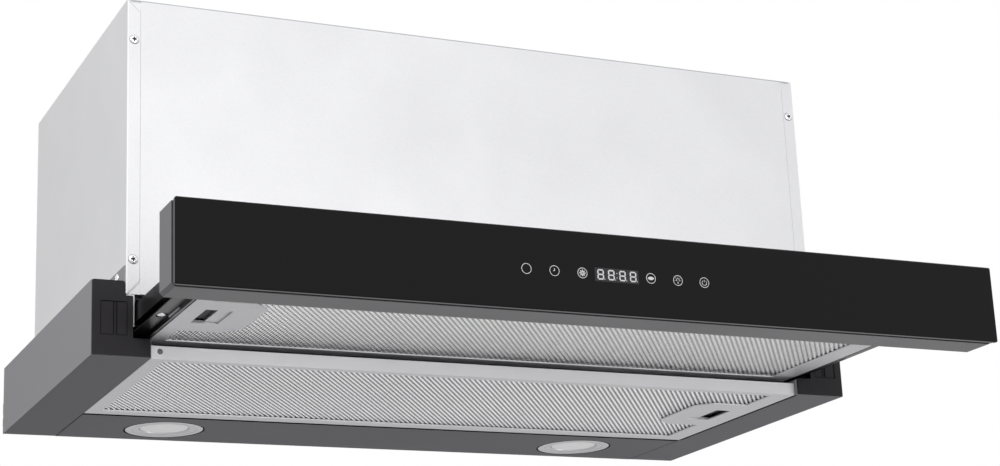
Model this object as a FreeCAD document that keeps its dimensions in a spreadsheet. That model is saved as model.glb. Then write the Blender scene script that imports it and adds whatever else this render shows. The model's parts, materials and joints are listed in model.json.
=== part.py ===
import FreeCAD, Part
import math
import os
import Sketcher

# A pull-out range hood, 60 cm wide, with its drawer pulled out.
# Origin: middle of the bottom edge of the rear face. +X right, +Y to the wall, +Z up. Millimetres.

Vector = FreeCAD.Vector
doc = FreeCAD.newDocument("PullOutHood")
sheet = doc.addObject("Spreadsheet::Sheet", "Sizes")
LEFT, RIGHT = -1, 1
SIDES = {LEFT: "left", RIGHT: "right"}
LAMP_SIDES = 32
DUCT_SIDES = 36
SCREW_SIDES = 8
GLAND_SIDES = 16
SCROLL_TONGUE = 60
SCROLL_CHORD = 10
subparts = []


class Size:
    """A length that knows its number and the sheet expression that gives it."""

    def __init__(self, number, text):
        self.number = number
        self.text = text

    def __add__(self, other):
        other = as_size(other)
        return Size(self.number + other.number, f"({self.text} + {other.text})")

    def __sub__(self, other):
        other = as_size(other)
        return Size(self.number - other.number, f"({self.text} - {other.text})")

    def __mul__(self, factor):
        factor = as_size(factor)
        return Size(self.number * factor.number, f"({self.text} * {factor.text})")

    def __truediv__(self, divisor):
        divisor = as_size(divisor)
        return Size(self.number / divisor.number, f"({self.text} / {divisor.text})")

    def __neg__(self):
        return self * -1

    def __radd__(self, other):
        return as_size(other) + self

    def __rsub__(self, other):
        return as_size(other) - self

    def __rmul__(self, other):
        return self * other


def as_size(value):
    return value if isinstance(value, Size) else Size(value, f"({value})")


def cell(alias, value, note):
    """One driving dimension: a row of the sheet with its note, its number and its alias."""
    row = cell.next_row
    cell.next_row += 1
    sheet.set(f"A{row}", note)
    sheet.set(f"B{row}", str(value))
    sheet.setAlias(f"B{row}", alias)
    return Size(value, f"Sizes.{alias}")


cell.next_row = 1

# --- lower body -------------------------------------------------------------------------------
hood_width = cell("hood_width", 598, "width over the body's cheeks")
hood_depth = cell("hood_depth", 281, "depth of the body, wall to end caps")
body_height = cell("body_height", 52.5, "height of the cheeks")
body_sheet = cell("body_sheet", 0.8, "sheet thickness of the body")
cheek_width = cell("cheek_width", 41.7, "width of a cheek's bottom face")
flange_rise = cell("flange_rise", 11.5, "upright flange above a cheek")
lamp_panel_depth = cell("lamp_panel_depth", 91, "depth of the panel that holds the lamps")
rail_from_wall = cell("rail_from_wall", 30, "rail plate's end from the wall")
seam_gap = cell("seam_gap", 0.2, "gap between neighbouring sheets")
cap_thickness = cell("cap_thickness", 1.6, "face plate of an end cap")
cap_plug_depth = cell("cap_plug_depth", 9, "reach of an end cap's plug into the cheek")
cap_wall = cell("cap_wall", 1.4, "wall of an end cap's plug")
cap_corner = cell("cap_corner", 2, "corner radius of an end cap")
knockout_depth = cell("knockout_depth", 0.4, "depth of an end cap's recessed fields")
knockout_low = cell("knockout_low", 14.4, "bottom of the recessed fields")
knockout_rise = cell("knockout_rise", 23.4, "height of the recessed fields")
clip_thickness = cell("clip_thickness", 0.8, "plastic clip behind a cheek")
clip_width = cell("clip_width", 14, "width of that clip")
lower_clip_low = cell("lower_clip_low", 5.8, "bottom of the lower clip")
lower_clip_high = cell("lower_clip_high", 12.3, "top of the lower clip")
upper_clip_low = cell("upper_clip_low", 15.6, "bottom of the upper clip")
upper_clip_high = cell("upper_clip_high", 23.8, "top of the upper clip")

# --- upper casing -----------------------------------------------------------------------------
shoulder = cell("shoulder", 23.5, "how far the casing stands in from the cheeks")
casing_setback = cell("casing_setback", 0.6, "casing front behind the end caps")
casing_depth = cell("casing_depth", 279, "depth of the casing")
casing_height = cell("casing_height", 216.2, "height of the casing")
casing_sheet = cell("casing_sheet", 0.8, "galvanised sheet of the casing")
casing_flange = cell("casing_flange", 9.5, "flange folded over the front and back panels")
casing_tab = cell("casing_tab", 7.7, "joggled tab behind that flange")
lid_rim = cell("lid_rim", 12, "rim of the lid inside the casing")
screw_head = cell("screw_head", 3.25, "radius of a screw head")
screw_head_rise = cell("screw_head_rise", 1.4, "height of a screw head")
screw_shank = cell("screw_shank", 1.7, "radius of a screw shank")
screw_reach = cell("screw_reach", 4, "length of a screw shank")
screw_play = cell("screw_play", 0.2, "radial room round a screw shank")
screw_top_drop = cell("screw_top_drop", 30, "upper screws below the casing's top")
screw_low_rise = cell("screw_low_rise", 24.6, "lower screws above the casing's bottom")
wall_hole = cell("wall_hole", 2.75, "radius of the wall screw holes")
wall_hole_wide = cell("wall_hole_wide", 440, "spacing of the wall holes across")
wall_hole_tall = cell("wall_hole_tall", 100, "spacing of the wall holes upwards")
wall_hole_low = cell("wall_hole_low", 100, "height of the lower wall holes")

# --- filters ----------------------------------------------------------------------------------
filter_side_gap = cell("filter_side_gap", 0.3, "filter to cheek")
filter_height = cell("filter_height", 9.3, "thickness of a filter")
filter_setback = cell("filter_setback", 4.2, "fixed filter behind the end caps")
filter_border = cell("filter_border", 11, "border left of the mesh")
filter_border_right = cell("filter_border_right", 17, "border right of the mesh")
filter_border_front = cell("filter_border_front", 7.5, "border in front of the mesh")
filter_border_back = cell("filter_border_back", 12.5, "border behind the mesh")
mesh_sheet = cell("mesh_sheet", 0.5, "thickness of one mesh layer")
mesh_pitch = cell("mesh_pitch", 32, "pitch of the crimped middle layer")
filter_sheet = cell("filter_sheet", 1, "sheet of a filter frame")
filter_lip = cell("filter_lip", 4, "inward lip at a filter's top")
latch_plate_width = cell("latch_plate_width", 41, "latch plate across")
latch_plate_length = cell("latch_plate_length", 79, "latch plate front to back")
latch_plate_corner = cell("latch_plate_corner", 12, "cut corner of the latch plate")
latch_plate_shift = cell("latch_plate_shift", 8.5, "latch plate off the filter's middle")
finger_hole_width = cell("finger_hole_width", 19, "finger hole across")
finger_hole_length = cell("finger_hole_length", 36, "finger hole front to back")
latch_sheet = cell("latch_sheet", 1.2, "sliding latch plate")
latch_shoulder = cell("latch_shoulder", 6, "sliding plate beyond the finger hole")
latch_play = cell("latch_play", 0.2, "room round the sliding latch")
bolt_width = cell("bolt_width", 24, "width of the latch bolt")
latch_stroke = cell("latch_stroke", 5, "travel of the latch")
finger_hole_inset = cell("finger_hole_inset", 2, "finger hole to the frame's inner border")
rivet_radius = cell("rivet_radius", 2.1, "recess in the fixed filter's front wall")
rivet_inset = cell("rivet_inset", 6.7, "that recess from the filter's side")
catch_reach = cell("catch_reach", 3.4, "reach of bolt and tabs beyond the frame")
tab_width = cell("tab_width", 14, "width of a hinge tab")
tab_inset = cell("tab_inset", 30, "hinge tab from the filter's end")

# --- drawer -----------------------------------------------------------------------------------
drawer_travel = cell("drawer_travel", 164.6, "how far the drawer is pulled out")
drawer_rise = cell("drawer_rise", 14, "underside of the drawer's filter")
drawer_overlap = cell("drawer_overlap", 19.5, "drawer filter behind the end caps when open")
drawer_filter_gap = cell("drawer_filter_gap", 1, "filter to the drawer frame")
drawer_sheet = cell("drawer_sheet", 0.8, "sheet of the drawer frame")
drawer_frame_height = cell("drawer_frame_height", 20, "height of the drawer frame")
drawer_frame_lip = cell("drawer_frame_lip", 14, "inward lip of the drawer frame")
bracket_sheet = cell("bracket_sheet", 0.8, "sheet of the slide brackets")
bracket_flange = cell("bracket_flange", 10.4, "foot of a slide bracket under the slide")
bracket_rise = cell("bracket_rise", 2.8, "that foot above the drawer's underside")
bracket_slot_length = cell("bracket_slot_length", 12, "oblong hole in that foot")
bracket_slot_width = cell("bracket_slot_width", 6.8, "width of the oblong hole")
slot_ahead = cell("slot_ahead", 50, "that hole's middle ahead of the end caps")
trim_depth = cell("trim_depth", 25.8, "front trim, front to back")
trim_wall = cell("trim_wall", 1.5, "wall of the front trim")
trim_lip = cell("trim_lip", 6, "return lips at the back of the trim")
trim_plug_depth = cell("trim_plug_depth", 8, "reach of a trim end's plug")
tongue_rise = cell("tongue_rise", 10, "upturned edge of the frame's tongue")
trim_low = cell("trim_low", -2.4, "underside of the trim")
trim_height = cell("trim_height", 53.6, "height of the trim")
trim_end_thickness = cell("trim_end_thickness", 2.5, "plastic end of the trim")
trim_end_bevel = cell("trim_end_bevel", 3, "bevel at the bottom of that end")
carrier_thickness = cell("carrier_thickness", 3.7, "plastic carrier behind the glass")
carrier_inset = cell("carrier_inset", 0.8, "carrier edge inside the glass edge")
glass_thickness = cell("glass_thickness", 4, "front glass")
glass_width = cell("glass_width", 597.2, "width of the front glass")
glass_low = cell("glass_low", -2.6, "underside of the glass")
glass_height = cell("glass_height", 54.4, "height of the glass")
glass_bevel = cell("glass_bevel", 0.8, "polished edge of the glass")
board_width = cell("board_width", 150, "touch control board across")
board_height = cell("board_height", 24, "touch control board upwards")
board_thickness = cell("board_thickness", 1.6, "touch control board")
board_middle = cell("board_middle", 23.8, "height of the touch row")

# --- ball-bearing slides ----------------------------------------------------------------------
slide_length = cell("slide_length", 200, "length of each slide member")
slide_height = cell("slide_height", 20, "height of the outer member")
slide_rise = cell("slide_rise", 7.7, "outer member above the drawer's underside")
slide_depth = cell("slide_depth", 9.6, "closed thickness of a slide")
slide_gauge = cell("slide_gauge", 1, "sheet of the slide members")
slide_gap = cell("slide_gap", 0.7, "room above and below a slide")
slide_setback = cell("slide_setback", 4, "slide behind the end caps when closed")
slide_hook = cell("slide_hook", 2, "hook that keeps the balls in")
member_gap = cell("member_gap", 0.6, "web of one member to the next")
ball_radius = cell("ball_radius", 1.2, "radius of a ball")
ball_play = cell("ball_play", 0.05, "running clearance of a ball")
ball_cut = cell("ball_cut", 0.6, "flats that round a ball")
ball_count = cell("ball_count", 3, "balls in one row")
cage_length = cell("cage_length", 100, "length of a ball cage")
cage_sheet = cell("cage_sheet", 0.6, "strip of a ball cage")
cage_width = cell("cage_width", 2.8, "width of that strip")
cage_hole_play = cell("cage_hole_play", 0.1, "room round a ball in its cage")

# --- lamps ------------------------------------------------------------------------------------
lamp_spacing = cell("lamp_spacing", 361.4, "between the lamps' middles")
lamp_from_wall = cell("lamp_from_wall", 42, "lamp middle from the wall")
bezel_radius = cell("bezel_radius", 31, "outer radius of a bezel")
bezel_step = cell("bezel_step", 24.8, "radius of the bezel's step")
bezel_step_depth = cell("bezel_step_depth", 0.8, "depth of that step")
bezel_gap = cell("bezel_gap", 0.5, "gap round a bezel")
lens_radius = cell("lens_radius", 18.8, "radius of the frosted lens")
bezel_height = cell("bezel_height", 3.1, "height of a bezel")
module_rim = cell("module_rim", 5, "rim of a lamp module on the panel")
module_height = cell("module_height", 20, "top of a lamp module")
module_taper = cell("module_taper", 8, "how much narrower its upper part is")

# --- blower -----------------------------------------------------------------------------------
impeller_radius = cell("impeller_radius", 70, "blade tips of the impeller")
blade_depth = cell("blade_depth", 11, "radial depth of a blade")
blade_sheet = cell("blade_sheet", 1.2, "thickness of a blade")
blade_count = cell("blade_count", 36, "blades round the impeller")
impeller_width = cell("impeller_width", 150, "width of the impeller")
impeller_disc = cell("impeller_disc", 2, "middle disc of the impeller")
impeller_ring = cell("impeller_ring", 3, "end rings of the impeller")
hub_radius = cell("hub_radius", 10, "hub of the impeller")
hub_length = cell("hub_length", 24, "length of that hub")
shaft_radius = cell("shaft_radius", 4, "motor shaft")
shaft_play = cell("shaft_play", 0.05, "running clearance of the shaft")
motor_radius = cell("motor_radius", 38, "motor can")
motor_length = cell("motor_length", 52, "length of the motor can")
motor_gap = cell("motor_gap", 4, "motor to the impeller's hub")
motor_boss = cell("motor_boss", 14, "radius of the motor's rear boss")
scroll_clearance = cell("scroll_clearance", 8, "impeller to scroll side plates and tongue")
scroll_step = cell("scroll_step", 9, "growth of the scroll each quarter turn")
scroll_wall = cell("scroll_wall", 2, "wall of the scroll")
scroll_height = cell("scroll_height", 148, "height of the impeller's axis")
side_plate = cell("side_plate", 1.2, "side plate of the blower")
inlet_gap = cell("inlet_gap", 1.5, "inlet lip inside the impeller's ring")
inlet_lip = cell("inlet_lip", 9, "depth of the inlet lip")
spider_sheet = cell("spider_sheet", 2, "motor bracket")
spider_arm = cell("spider_arm", 12, "width of a bracket arm")

# --- outlet and electrics ---------------------------------------------------------------------
duct_radius = cell("duct_radius", 59.5, "outside of the round outlet")
duct_wall = cell("duct_wall", 2, "wall of the outlet")
duct_rise = cell("duct_rise", 36, "height of the outlet over the lid")
duct_flange = cell("duct_flange", 12.5, "flange round the outlet")
duct_flange_sheet = cell("duct_flange_sheet", 1.5, "thickness of that flange")
duct_forward = cell("duct_forward", 25, "outlet behind the impeller's axis")
stop_reach = cell("stop_reach", 3, "reach of the stop under a flap")
stop_half = cell("stop_half", 6, "half the length of that stop")
flap_rise = cell("flap_rise", 5.4, "flap pins above the lid")
flap_sheet = cell("flap_sheet", 1.2, "thickness of a flap")
flap_gap = cell("flap_gap", 0.7, "flap to the outlet's wall")
flap_pin = cell("flap_pin", 1.5, "radius of a flap's pin")
flap_pin_play = cell("flap_pin_play", 0.05, "running clearance of that pin")
flap_offset = cell("flap_offset", 4.5, "flap pins from the middle bar's plane")
bar_half = cell("bar_half", 2, "half thickness of the middle bar")
gland_radius = cell("gland_radius", 9, "cable gland's nut")
gland_bore = cell("gland_bore", 4, "cable gland's bore")
gland_right = cell("gland_right", 200, "gland from the middle")
gland_from_wall = cell("gland_from_wall", 60, "gland from the wall")
gland_rise = cell("gland_rise", 15, "gland over the lid")
gland_drop = cell("gland_drop", 9, "gland under the lid")
gland_grip = cell("gland_grip", 4, "gland's hexagon on the lid")
box_width = cell("box_width", 120, "control box across")
box_depth = cell("box_depth", 40, "control box front to back")
box_height = cell("box_height", 85, "control box upwards")
box_left_edge = cell("box_left_edge", 128, "control box from the middle")
box_low = cell("box_low", 110, "control box height above the bottom")
box_corner = cell("box_corner", 4, "corner radius of the control box")
capacitor_radius = cell("capacitor_radius", 15, "start capacitor")
capacitor_height = cell("capacitor_height", 50, "height of the capacitor")
capacitor_foot = cell("capacitor_foot", 6, "capacitor's clip off the back panel")

# --- places that follow from the sizes --------------------------------------------------------
half_width = hood_width / 2
cap_front = -hood_depth
cheek_inner = half_width - cheek_width
casing_half = half_width - shoulder
casing_front_y = cap_front + casing_setback
casing_back_y = casing_front_y + casing_depth
filter_half = cheek_inner - filter_side_gap
frame_half = filter_half + drawer_filter_gap + drawer_sheet
bracket_half = frame_half + bracket_sheet
rail_half = bracket_half + slide_depth
slide_middle = drawer_rise + slide_rise + slide_height / 2
rail_shelf = slide_middle + slide_height / 2 + slide_gap + 0.4
casing_bottom = rail_shelf + body_sheet + seam_gap
casing_top_z = casing_bottom + casing_height
lid_under = casing_top_z - casing_sheet
cheek_foot = drawer_rise - bracket_sheet - 1.2
cap_foot = cheek_foot + 0.6
cap_notch = rail_shelf - 0.6
fixed_filter_front = cap_front + filter_setback
fixed_filter_back = -lamp_panel_depth - filter_side_gap
trim_back = cap_front - drawer_travel
trim_front = trim_back - trim_depth
carrier_front = trim_front - carrier_thickness
glass_front = carrier_front - glass_thickness
drawer_filter_front = trim_back + 1.1
drawer_filter_back = cap_front + drawer_overlap
drawer_frame_front = drawer_filter_front - drawer_filter_gap + 0.2
drawer_frame_back = drawer_filter_back + drawer_filter_gap + drawer_sheet
slide_front = cap_front + slide_setback
lamp_x = lamp_spacing / 2
lamp_y = -lamp_from_wall
scroll_base = impeller_radius + scroll_clearance
scroll_half = impeller_width / 2 + scroll_clearance
axis_y = -hood_depth / 2 - (scroll_step + scroll_step * 2) / 2
duct_y = axis_y + duct_forward
duct_bore = duct_radius - duct_wall
lid_seam = duct_radius + 6
inlet_radius = impeller_radius - blade_depth - inlet_gap
flap_z = casing_top_z + flap_rise
shank_hole = (screw_shank + screw_play) * 1.09
pin_hole = (flap_pin + flap_pin_play) * 1.09


# --- helpers ----------------------------------------------------------------------------------
PLANES = {"x": "YZ_Plane", "y": "XZ_Plane", "z": "XY_Plane"}


def bind(thing, name, size):
    thing.setExpression(name, as_size(size).text)


def new_body(label, alone=True):
    """A body. One that isn't alone goes into a group and gets no file of its own."""
    body = doc.addObject("PartDesign::Body", label)
    body.Label = label
    if alone:
        subparts.append(body)
    return body


def block(x_low, x_high, y_low, y_high, z_low, z_high):
    box = doc.addObject("Part::Box", "Block")
    for name, low, high in (("Length", x_low, x_high), ("Width", y_low, y_high), ("Height", z_low, z_high)):
        bind(box, name, as_size(high) - low)
    for name, low in (("x", x_low), ("y", y_low), ("z", z_low)):
        bind(box, f"Placement.Base.{name}", low)
    return box


def group(label, members):
    """Separate solids of one kind that share a node."""
    bundle = doc.addObject("Part::Compound", label)
    bundle.Label = label
    bundle.Links = members
    doc.recompute()
    subparts.append(bundle)
    return bundle


def new_shape(label, shape):
    """A sub-part whose form no sketch gives: its solid is worked out from the sheet's numbers."""
    feature = doc.addObject("Part::Feature", label)
    feature.Label = label
    feature.Shape = shape
    feature.Placement = FreeCAD.Placement()
    subparts.append(feature)
    return feature


def origin_feature(body, role):
    return next(item for item in body.Origin.OriginFeatures if item.Role == role)


def new_sketch(body, axis, level):
    """A sketch square to the axis at that level. A sketch square to Y looks along +Y."""
    sketch = body.newObject("Sketcher::SketchObject", "Outline")
    sketch.AttachmentSupport = (origin_feature(body, PLANES[axis]), [""])
    sketch.MapMode = "FlatFace"
    bind(sketch, "AttachmentOffset.Base.z", -level if axis == "y" else level)
    return sketch


def pin_point(sketch, geometry, position, across, up):
    """Dimension one point of the sketch from the origin, both ways."""
    for kind, size in (("DistanceX", as_size(across)), ("DistanceY", as_size(up))):
        limit = Sketcher.Constraint(kind, -1, 1, geometry, position, size.number)
        bind(sketch, f"Constraints[{sketch.addConstraint(limit)}]", size)


def draw_polygon(sketch, corners):
    numbers = [Vector(as_size(a).number, as_size(b).number, 0) for a, b in corners]
    first = sketch.GeometryCount
    count = len(corners)
    for index in range(count):
        sketch.addGeometry(Part.LineSegment(numbers[index], numbers[(index + 1) % count]), False)
    for index in range(count):
        following = first + (index + 1) % count
        sketch.addConstraint(Sketcher.Constraint("Coincident", first + index, 2, following, 1))
    for index, (across, up) in enumerate(corners):
        pin_point(sketch, first + index, 1, across, up)


def draw_circle(sketch, across, up, radius):
    radius = as_size(radius)
    middle = Vector(as_size(across).number, as_size(up).number, 0)
    circle = sketch.addGeometry(Part.Circle(middle, Vector(0, 0, 1), radius.number), False)
    pin_point(sketch, circle, 3, across, up)
    limit = sketch.addConstraint(Sketcher.Constraint("Radius", circle, radius.number))
    bind(sketch, f"Constraints[{limit}]", radius)


def draw(sketch, loops):
    """Each loop is a list of corners, or a circle as (across, up, radius)."""
    for loop in loops:
        if isinstance(loop, tuple):
            draw_circle(sketch, *loop)
        else:
            draw_polygon(sketch, loop)


def pad(body, axis, low, high, *loops):
    """Material between two levels of an axis."""
    sketch = new_sketch(body, axis, high if axis == "y" else low)
    draw(sketch, loops)
    feature = body.newObject("PartDesign::Pad", "Pad")
    feature.Profile = sketch
    bind(feature, "Length", as_size(high) - low)
    doc.recompute()
    return feature


def pocket(body, axis, low, high, *loops):
    """A hole between two levels of an axis. It has to take something away."""
    before = body.Tip.Shape.Volume
    sketch = new_sketch(body, axis, low if axis == "y" else high)
    draw(sketch, loops)
    feature = body.newObject("PartDesign::Pocket", "Pocket")
    feature.Profile = sketch
    bind(feature, "Length", as_size(high) - low)
    doc.recompute()
    if not feature.Shape.Volume < before:
        raise RuntimeError(f"{body.Label}: a pocket cuts nothing")
    return feature


def dress(body, kind, size_name, size, chosen):
    """Round or bevel the edges for which chosen(middle, direction) is true."""
    base = body.Tip
    names = []
    for index, edge in enumerate(base.Shape.Edges):
        start, end = edge.Vertexes[0].Point, edge.Vertexes[-1].Point
        if chosen((start + end) / 2, (end - start)):
            names.append(f"Edge{index + 1}")
    feature = body.newObject(f"PartDesign::{kind}", kind)
    feature.Base = (base, names)
    bind(feature, size_name, size)
    doc.recompute()
    return feature


def fillet(body, radius, chosen):
    return dress(body, "Fillet", "Radius", radius, chosen)


def chamfer(body, size, chosen):
    return dress(body, "Chamfer", "Size", size, chosen)


def along(direction, axis):
    """True if a direction has only that axis's part."""
    parts = {"x": abs(direction.x), "y": abs(direction.y), "z": abs(direction.z)}
    return parts.pop(axis) > 0.1 and max(parts.values()) < 1e-4


def near(value, size):
    return abs(value - as_size(size).number) < 0.01


def stand(item, x, y, z, axis):
    """Put a piece drawn upright at the origin at a point, along an axis."""
    for name, size in (("x", x), ("y", y), ("z", z)):
        bind(item, f"Placement.Base.{name}", size)
    directions = {"x": Vector(1, 0, 0), "-x": Vector(-1, 0, 0), "y": Vector(0, 1, 0),
                  "-y": Vector(0, -1, 0), "z": Vector(0, 0, 1)}
    turn = FreeCAD.Rotation(Vector(0, 0, 1), directions[axis])
    bind(item, "Placement.Rotation.Angle", math.degrees(turn.Angle))
    for name, part in (("x", turn.Axis.x), ("y", turn.Axis.y), ("z", turn.Axis.z)):
        bind(item, f"Placement.Rotation.Axis.{name}", part)
    doc.recompute()


def columns(layers, x, y, z, axis, sides):
    """Many-sided columns on one axis, joined where there are several: (low, high, radius)."""
    steps = {"x": (1, 0, 0), "-x": (-1, 0, 0), "y": (0, 1, 0), "-y": (0, -1, 0), "z": (0, 0, 1)}
    made = []
    for low, high, radius in layers:
        column = doc.addObject("Part::Prism", "Column")
        bind(column, "Polygon", sides)
        bind(column, "Circumradius", radius)
        bind(column, "Height", as_size(high) - low)
        foot = [as_size(place) + as_size(low) * step for place, step in zip((x, y, z), steps[axis])]
        stand(column, *foot, axis)
        made.append(column)
    if len(made) == 1:
        return made[0]
    joined = doc.addObject("Part::MultiFuse", "Columns")
    joined.Shapes = made
    doc.recompute()
    return joined


def stacked(label, solid, hollow, x, y, z, axis="z", sides=LAMP_SIDES, alone=True):
    """A round piece with flat sides: columns of one kind, less columns of another."""
    piece = columns(solid, x, y, z, axis, sides)
    if hollow:
        whole = piece
        piece = doc.addObject("Part::Cut", label)
        piece.Base = whole
        piece.Tool = columns(hollow, x, y, z, axis, sides)
        doc.recompute()
    piece.Label = label
    if alone:
        subparts.append(piece)
    return piece


def many_sided(across, up, radius, sides):
    """Corners of a regular outline for a small hole or pin, one side level."""
    turns = [(index + 0.5) * 2 * math.pi / sides for index in range(sides)]
    return [(as_size(across) + as_size(radius) * round(math.cos(turn), 6),
             as_size(up) + as_size(radius) * round(math.sin(turn), 6)) for turn in turns]


def turned(label, sections, x, y, z, axis="z", alone=True):
    """A turned piece: closed (radius, height) sections spun round an axis through a point."""
    body = new_body(label, alone)
    for section in sections:
        sketch = new_sketch(body, "y", 0)
        draw_polygon(sketch, section)
        feature = body.newObject("PartDesign::Revolution", "Revolution")
        feature.Profile = sketch
        feature.ReferenceAxis = (sketch, ["V_Axis"])
        feature.Angle = 360
    stand(body, x, y, z, axis)
    return body


def rectangle(a_low, a_high, b_low, b_high):
    return [(a_low, b_low), (a_high, b_low), (a_high, b_high), (a_low, b_high)]


def ordered(side, near_middle, far):
    """Two sizes on one side of the middle plane, lowest first."""
    pair = (side * near_middle, side * far)
    return pair if side == RIGHT else pair[::-1]


def sign(size):
    return (size > 1e-9) - (size < -1e-9)


def bent_sheet(path, thickness, hand):
    """Outline of a sheet bent square: the path, and the same path one thickness to its right
    (hand 1) or to its left (hand -1)."""
    normals = []
    for (a, b), (next_a, next_b) in zip(path, path[1:]):
        step_a = sign(as_size(next_a).number - as_size(a).number)
        step_b = sign(as_size(next_b).number - as_size(b).number)
        normals.append((step_b * hand, -step_a * hand))
    inner = []
    for index, (a, b) in enumerate(path):
        before = normals[max(index - 1, 0)]
        after = normals[min(index, len(normals) - 1)]
        ends = index in (0, len(path) - 1)
        shift_a = before[0] if ends else before[0] + after[0]
        shift_b = before[1] if ends else before[1] + after[1]
        inner.append((a + thickness * shift_a, b + thickness * shift_b))
    return path + inner[::-1]


# --- upper casing: galvanised shell -----------------------------------------------------------
screw_x = casing_half - casing_flange / 2 - 0.25
screw_heights = (casing_top_z - screw_top_drop, casing_bottom + screw_low_rise)


def shank_holes(side):
    return [many_sided(side * screw_x, height, shank_hole, 8) for height in screw_heights]


def make_casing_side(side):
    """A side wall with a flange folded over the front panel and one over the back panel. The
    front flange's ends are mitred."""
    body = new_body(f"casing_side_{SIDES[side]}")
    outer = side * casing_half
    edge = side * (casing_half - casing_flange)
    path = [(edge, casing_front_y), (outer, casing_front_y), (outer, casing_back_y), (edge, casing_back_y)]
    pad(body, "z", casing_bottom, casing_top_z, bent_sheet(path, casing_sheet, -side))
    mitre = casing_flange - casing_sheet
    inner = side * (casing_half - casing_sheet)
    corners = [[(edge, level), (inner, level), (edge, level + way * mitre)]
               for level, way in ((casing_top_z, -1), (casing_bottom, 1))]
    front_inside = casing_front_y + casing_sheet
    pocket(body, "y", casing_front_y, front_inside, *corners)
    pocket(body, "y", casing_front_y, front_inside, *shank_holes(side))
    web = ordered(side, casing_half - casing_sheet, casing_half)
    pocket(body, "x", web[0], web[1], *side_screw_holes())
    return body


def make_casing_panel(label, outer_y, inward):
    """Front or back panel: flat between the flanges, with a joggled tab behind each of them."""
    body = new_body(label)
    middle_y = outer_y + casing_sheet * inward
    inner_y = outer_y + casing_sheet * 2 * inward
    edge = casing_half - casing_flange - seam_gap
    tip = edge + casing_tab
    root = edge - casing_sheet * 2
    outline = [(-tip, middle_y), (-edge, middle_y), (-edge, outer_y), (edge, outer_y),
               (edge, middle_y), (tip, middle_y), (tip, inner_y), (root, inner_y),
               (root, middle_y), (-root, middle_y), (-root, inner_y), (-tip, inner_y)]
    pad(body, "z", casing_bottom, casing_top_z, outline)
    return body


def make_casing():
    for side in SIDES:
        make_casing_side(side)
    front = make_casing_panel("casing_front", casing_front_y, 1)
    pocket(front, "y", casing_front_y, casing_front_y + casing_sheet * 2,
           *shank_holes(LEFT), *shank_holes(RIGHT))
    back = make_casing_panel("casing_back", casing_back_y, -1)
    heights = (wall_hole_low, wall_hole_low + wall_hole_tall)
    holes = [(side * wall_hole_wide / 2, height, wall_hole) for side in SIDES for height in heights]
    pocket(back, "y", casing_back_y - casing_sheet * 2, casing_back_y, *holes)
    make_lid()


def lid_panels(half, front, back):
    """Outlines of the lid's flat panels: one at each side and two that meet round the air hole."""
    hole = many_sided(0, duct_y, duct_bore, DUCT_SIDES)
    middle = DUCT_SIDES // 2
    hole_half = hole[0][0]
    gland_hole = many_sided(gland_right, -gland_from_wall, gland_radius - 1, GLAND_SIDES)
    ahead = [(-lid_seam, front), (lid_seam, front), (lid_seam, duct_y), (hole_half, duct_y)]
    ahead += hole[middle:][::-1] + [(-hole_half, duct_y), (-lid_seam, duct_y)]
    behind = [(lid_seam, back), (-lid_seam, back), (-lid_seam, duct_y), (-hole_half, duct_y)]
    behind += hole[:middle][::-1] + [(hole_half, duct_y), (lid_seam, duct_y)]
    return {
        "LidLeft": [rectangle(-half, -lid_seam, front, back)],
        "LidRight": [rectangle(lid_seam, half, front, back), gland_hole],
        "LidAhead": [ahead],
        "LidBehind": [behind],
    }


def make_lid():
    """The casing's top: flat panels with a rim strip welded under each outer edge."""
    half = casing_half - casing_sheet
    front = casing_front_y + casing_sheet * 2
    back = casing_back_y - casing_sheet * 2
    flat_panels = []
    for label, loops in lid_panels(half, front, back).items():
        panel = new_body(label, alone=False)
        pad(panel, "z", lid_under, casing_top_z, *loops)
        flat_panels.append(panel)
    rim_low = casing_top_z - lid_rim
    strips = [block(-half, half, edge, edge + casing_sheet, rim_low, lid_under)
              for edge in (front, back - casing_sheet)]
    for side in SIDES:
        ends = ordered(side, half - casing_sheet, half)
        strips.append(block(ends[0], ends[1], front + casing_sheet, back - casing_sheet, rim_low, lid_under))
    return group("casing_top", flat_panels + strips)


# --- lower body -------------------------------------------------------------------------------
side_screw_z = body_height + flange_rise / 2 + 1
side_screw_ys = (cap_front + 20, -hood_depth / 2, -lamp_panel_depth / 2)


def side_screw_holes():
    return [many_sided(y, side_screw_z, shank_hole, 8) for y in side_screw_ys]


def latch_middle(front, back, latch_side):
    return (front + back) / 2 - latch_plate_shift * latch_side


def tab_middles(front, back):
    return (front + tab_inset, back - tab_inset)


def catch_slots(front, back, low, latch_side, wall_side):
    """Openings in a wall beside a filter: one for its bolt, or one for each hinge tab."""
    foot = low + filter_sheet
    if wall_side == latch_side:
        middle = latch_middle(front, back, latch_side)
        half = bolt_width / 2 + latch_play * 2
        return [rectangle(middle - half, middle + half, foot - latch_play,
                          foot + latch_sheet + latch_play * 3)]
    half = tab_width / 2 + 1
    return [rectangle(middle - half, middle + half, foot - latch_play, foot + latch_sheet + 5)
            for middle in tab_middles(front, back)]


def make_cheek(side):
    """One folded sheet: inner return, bottom, outer wall, top, and the upright flange that is
    screwed to the casing."""
    body = new_body(f"body_cheek_{SIDES[side]}")
    flange_x = casing_half + body_sheet
    path = [(side * cheek_inner, cheek_foot), (side * cheek_inner, 0), (side * half_width, 0),
            (side * half_width, body_height), (side * flange_x, body_height),
            (side * flange_x, body_height + flange_rise)]
    front = cap_front + cap_thickness
    pad(body, "y", front, -clip_thickness, bent_sheet(path, body_sheet, -side))
    slots = catch_slots(fixed_filter_front, fixed_filter_back, 0, RIGHT, side)
    inside = ordered(side, cheek_inner, cheek_inner + body_sheet)
    pocket(body, "x", inside[0], inside[1], *slots)
    flange = ordered(side, casing_half, flange_x)
    pocket(body, "x", flange[0], flange[1], *side_screw_holes())
    return body


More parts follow.
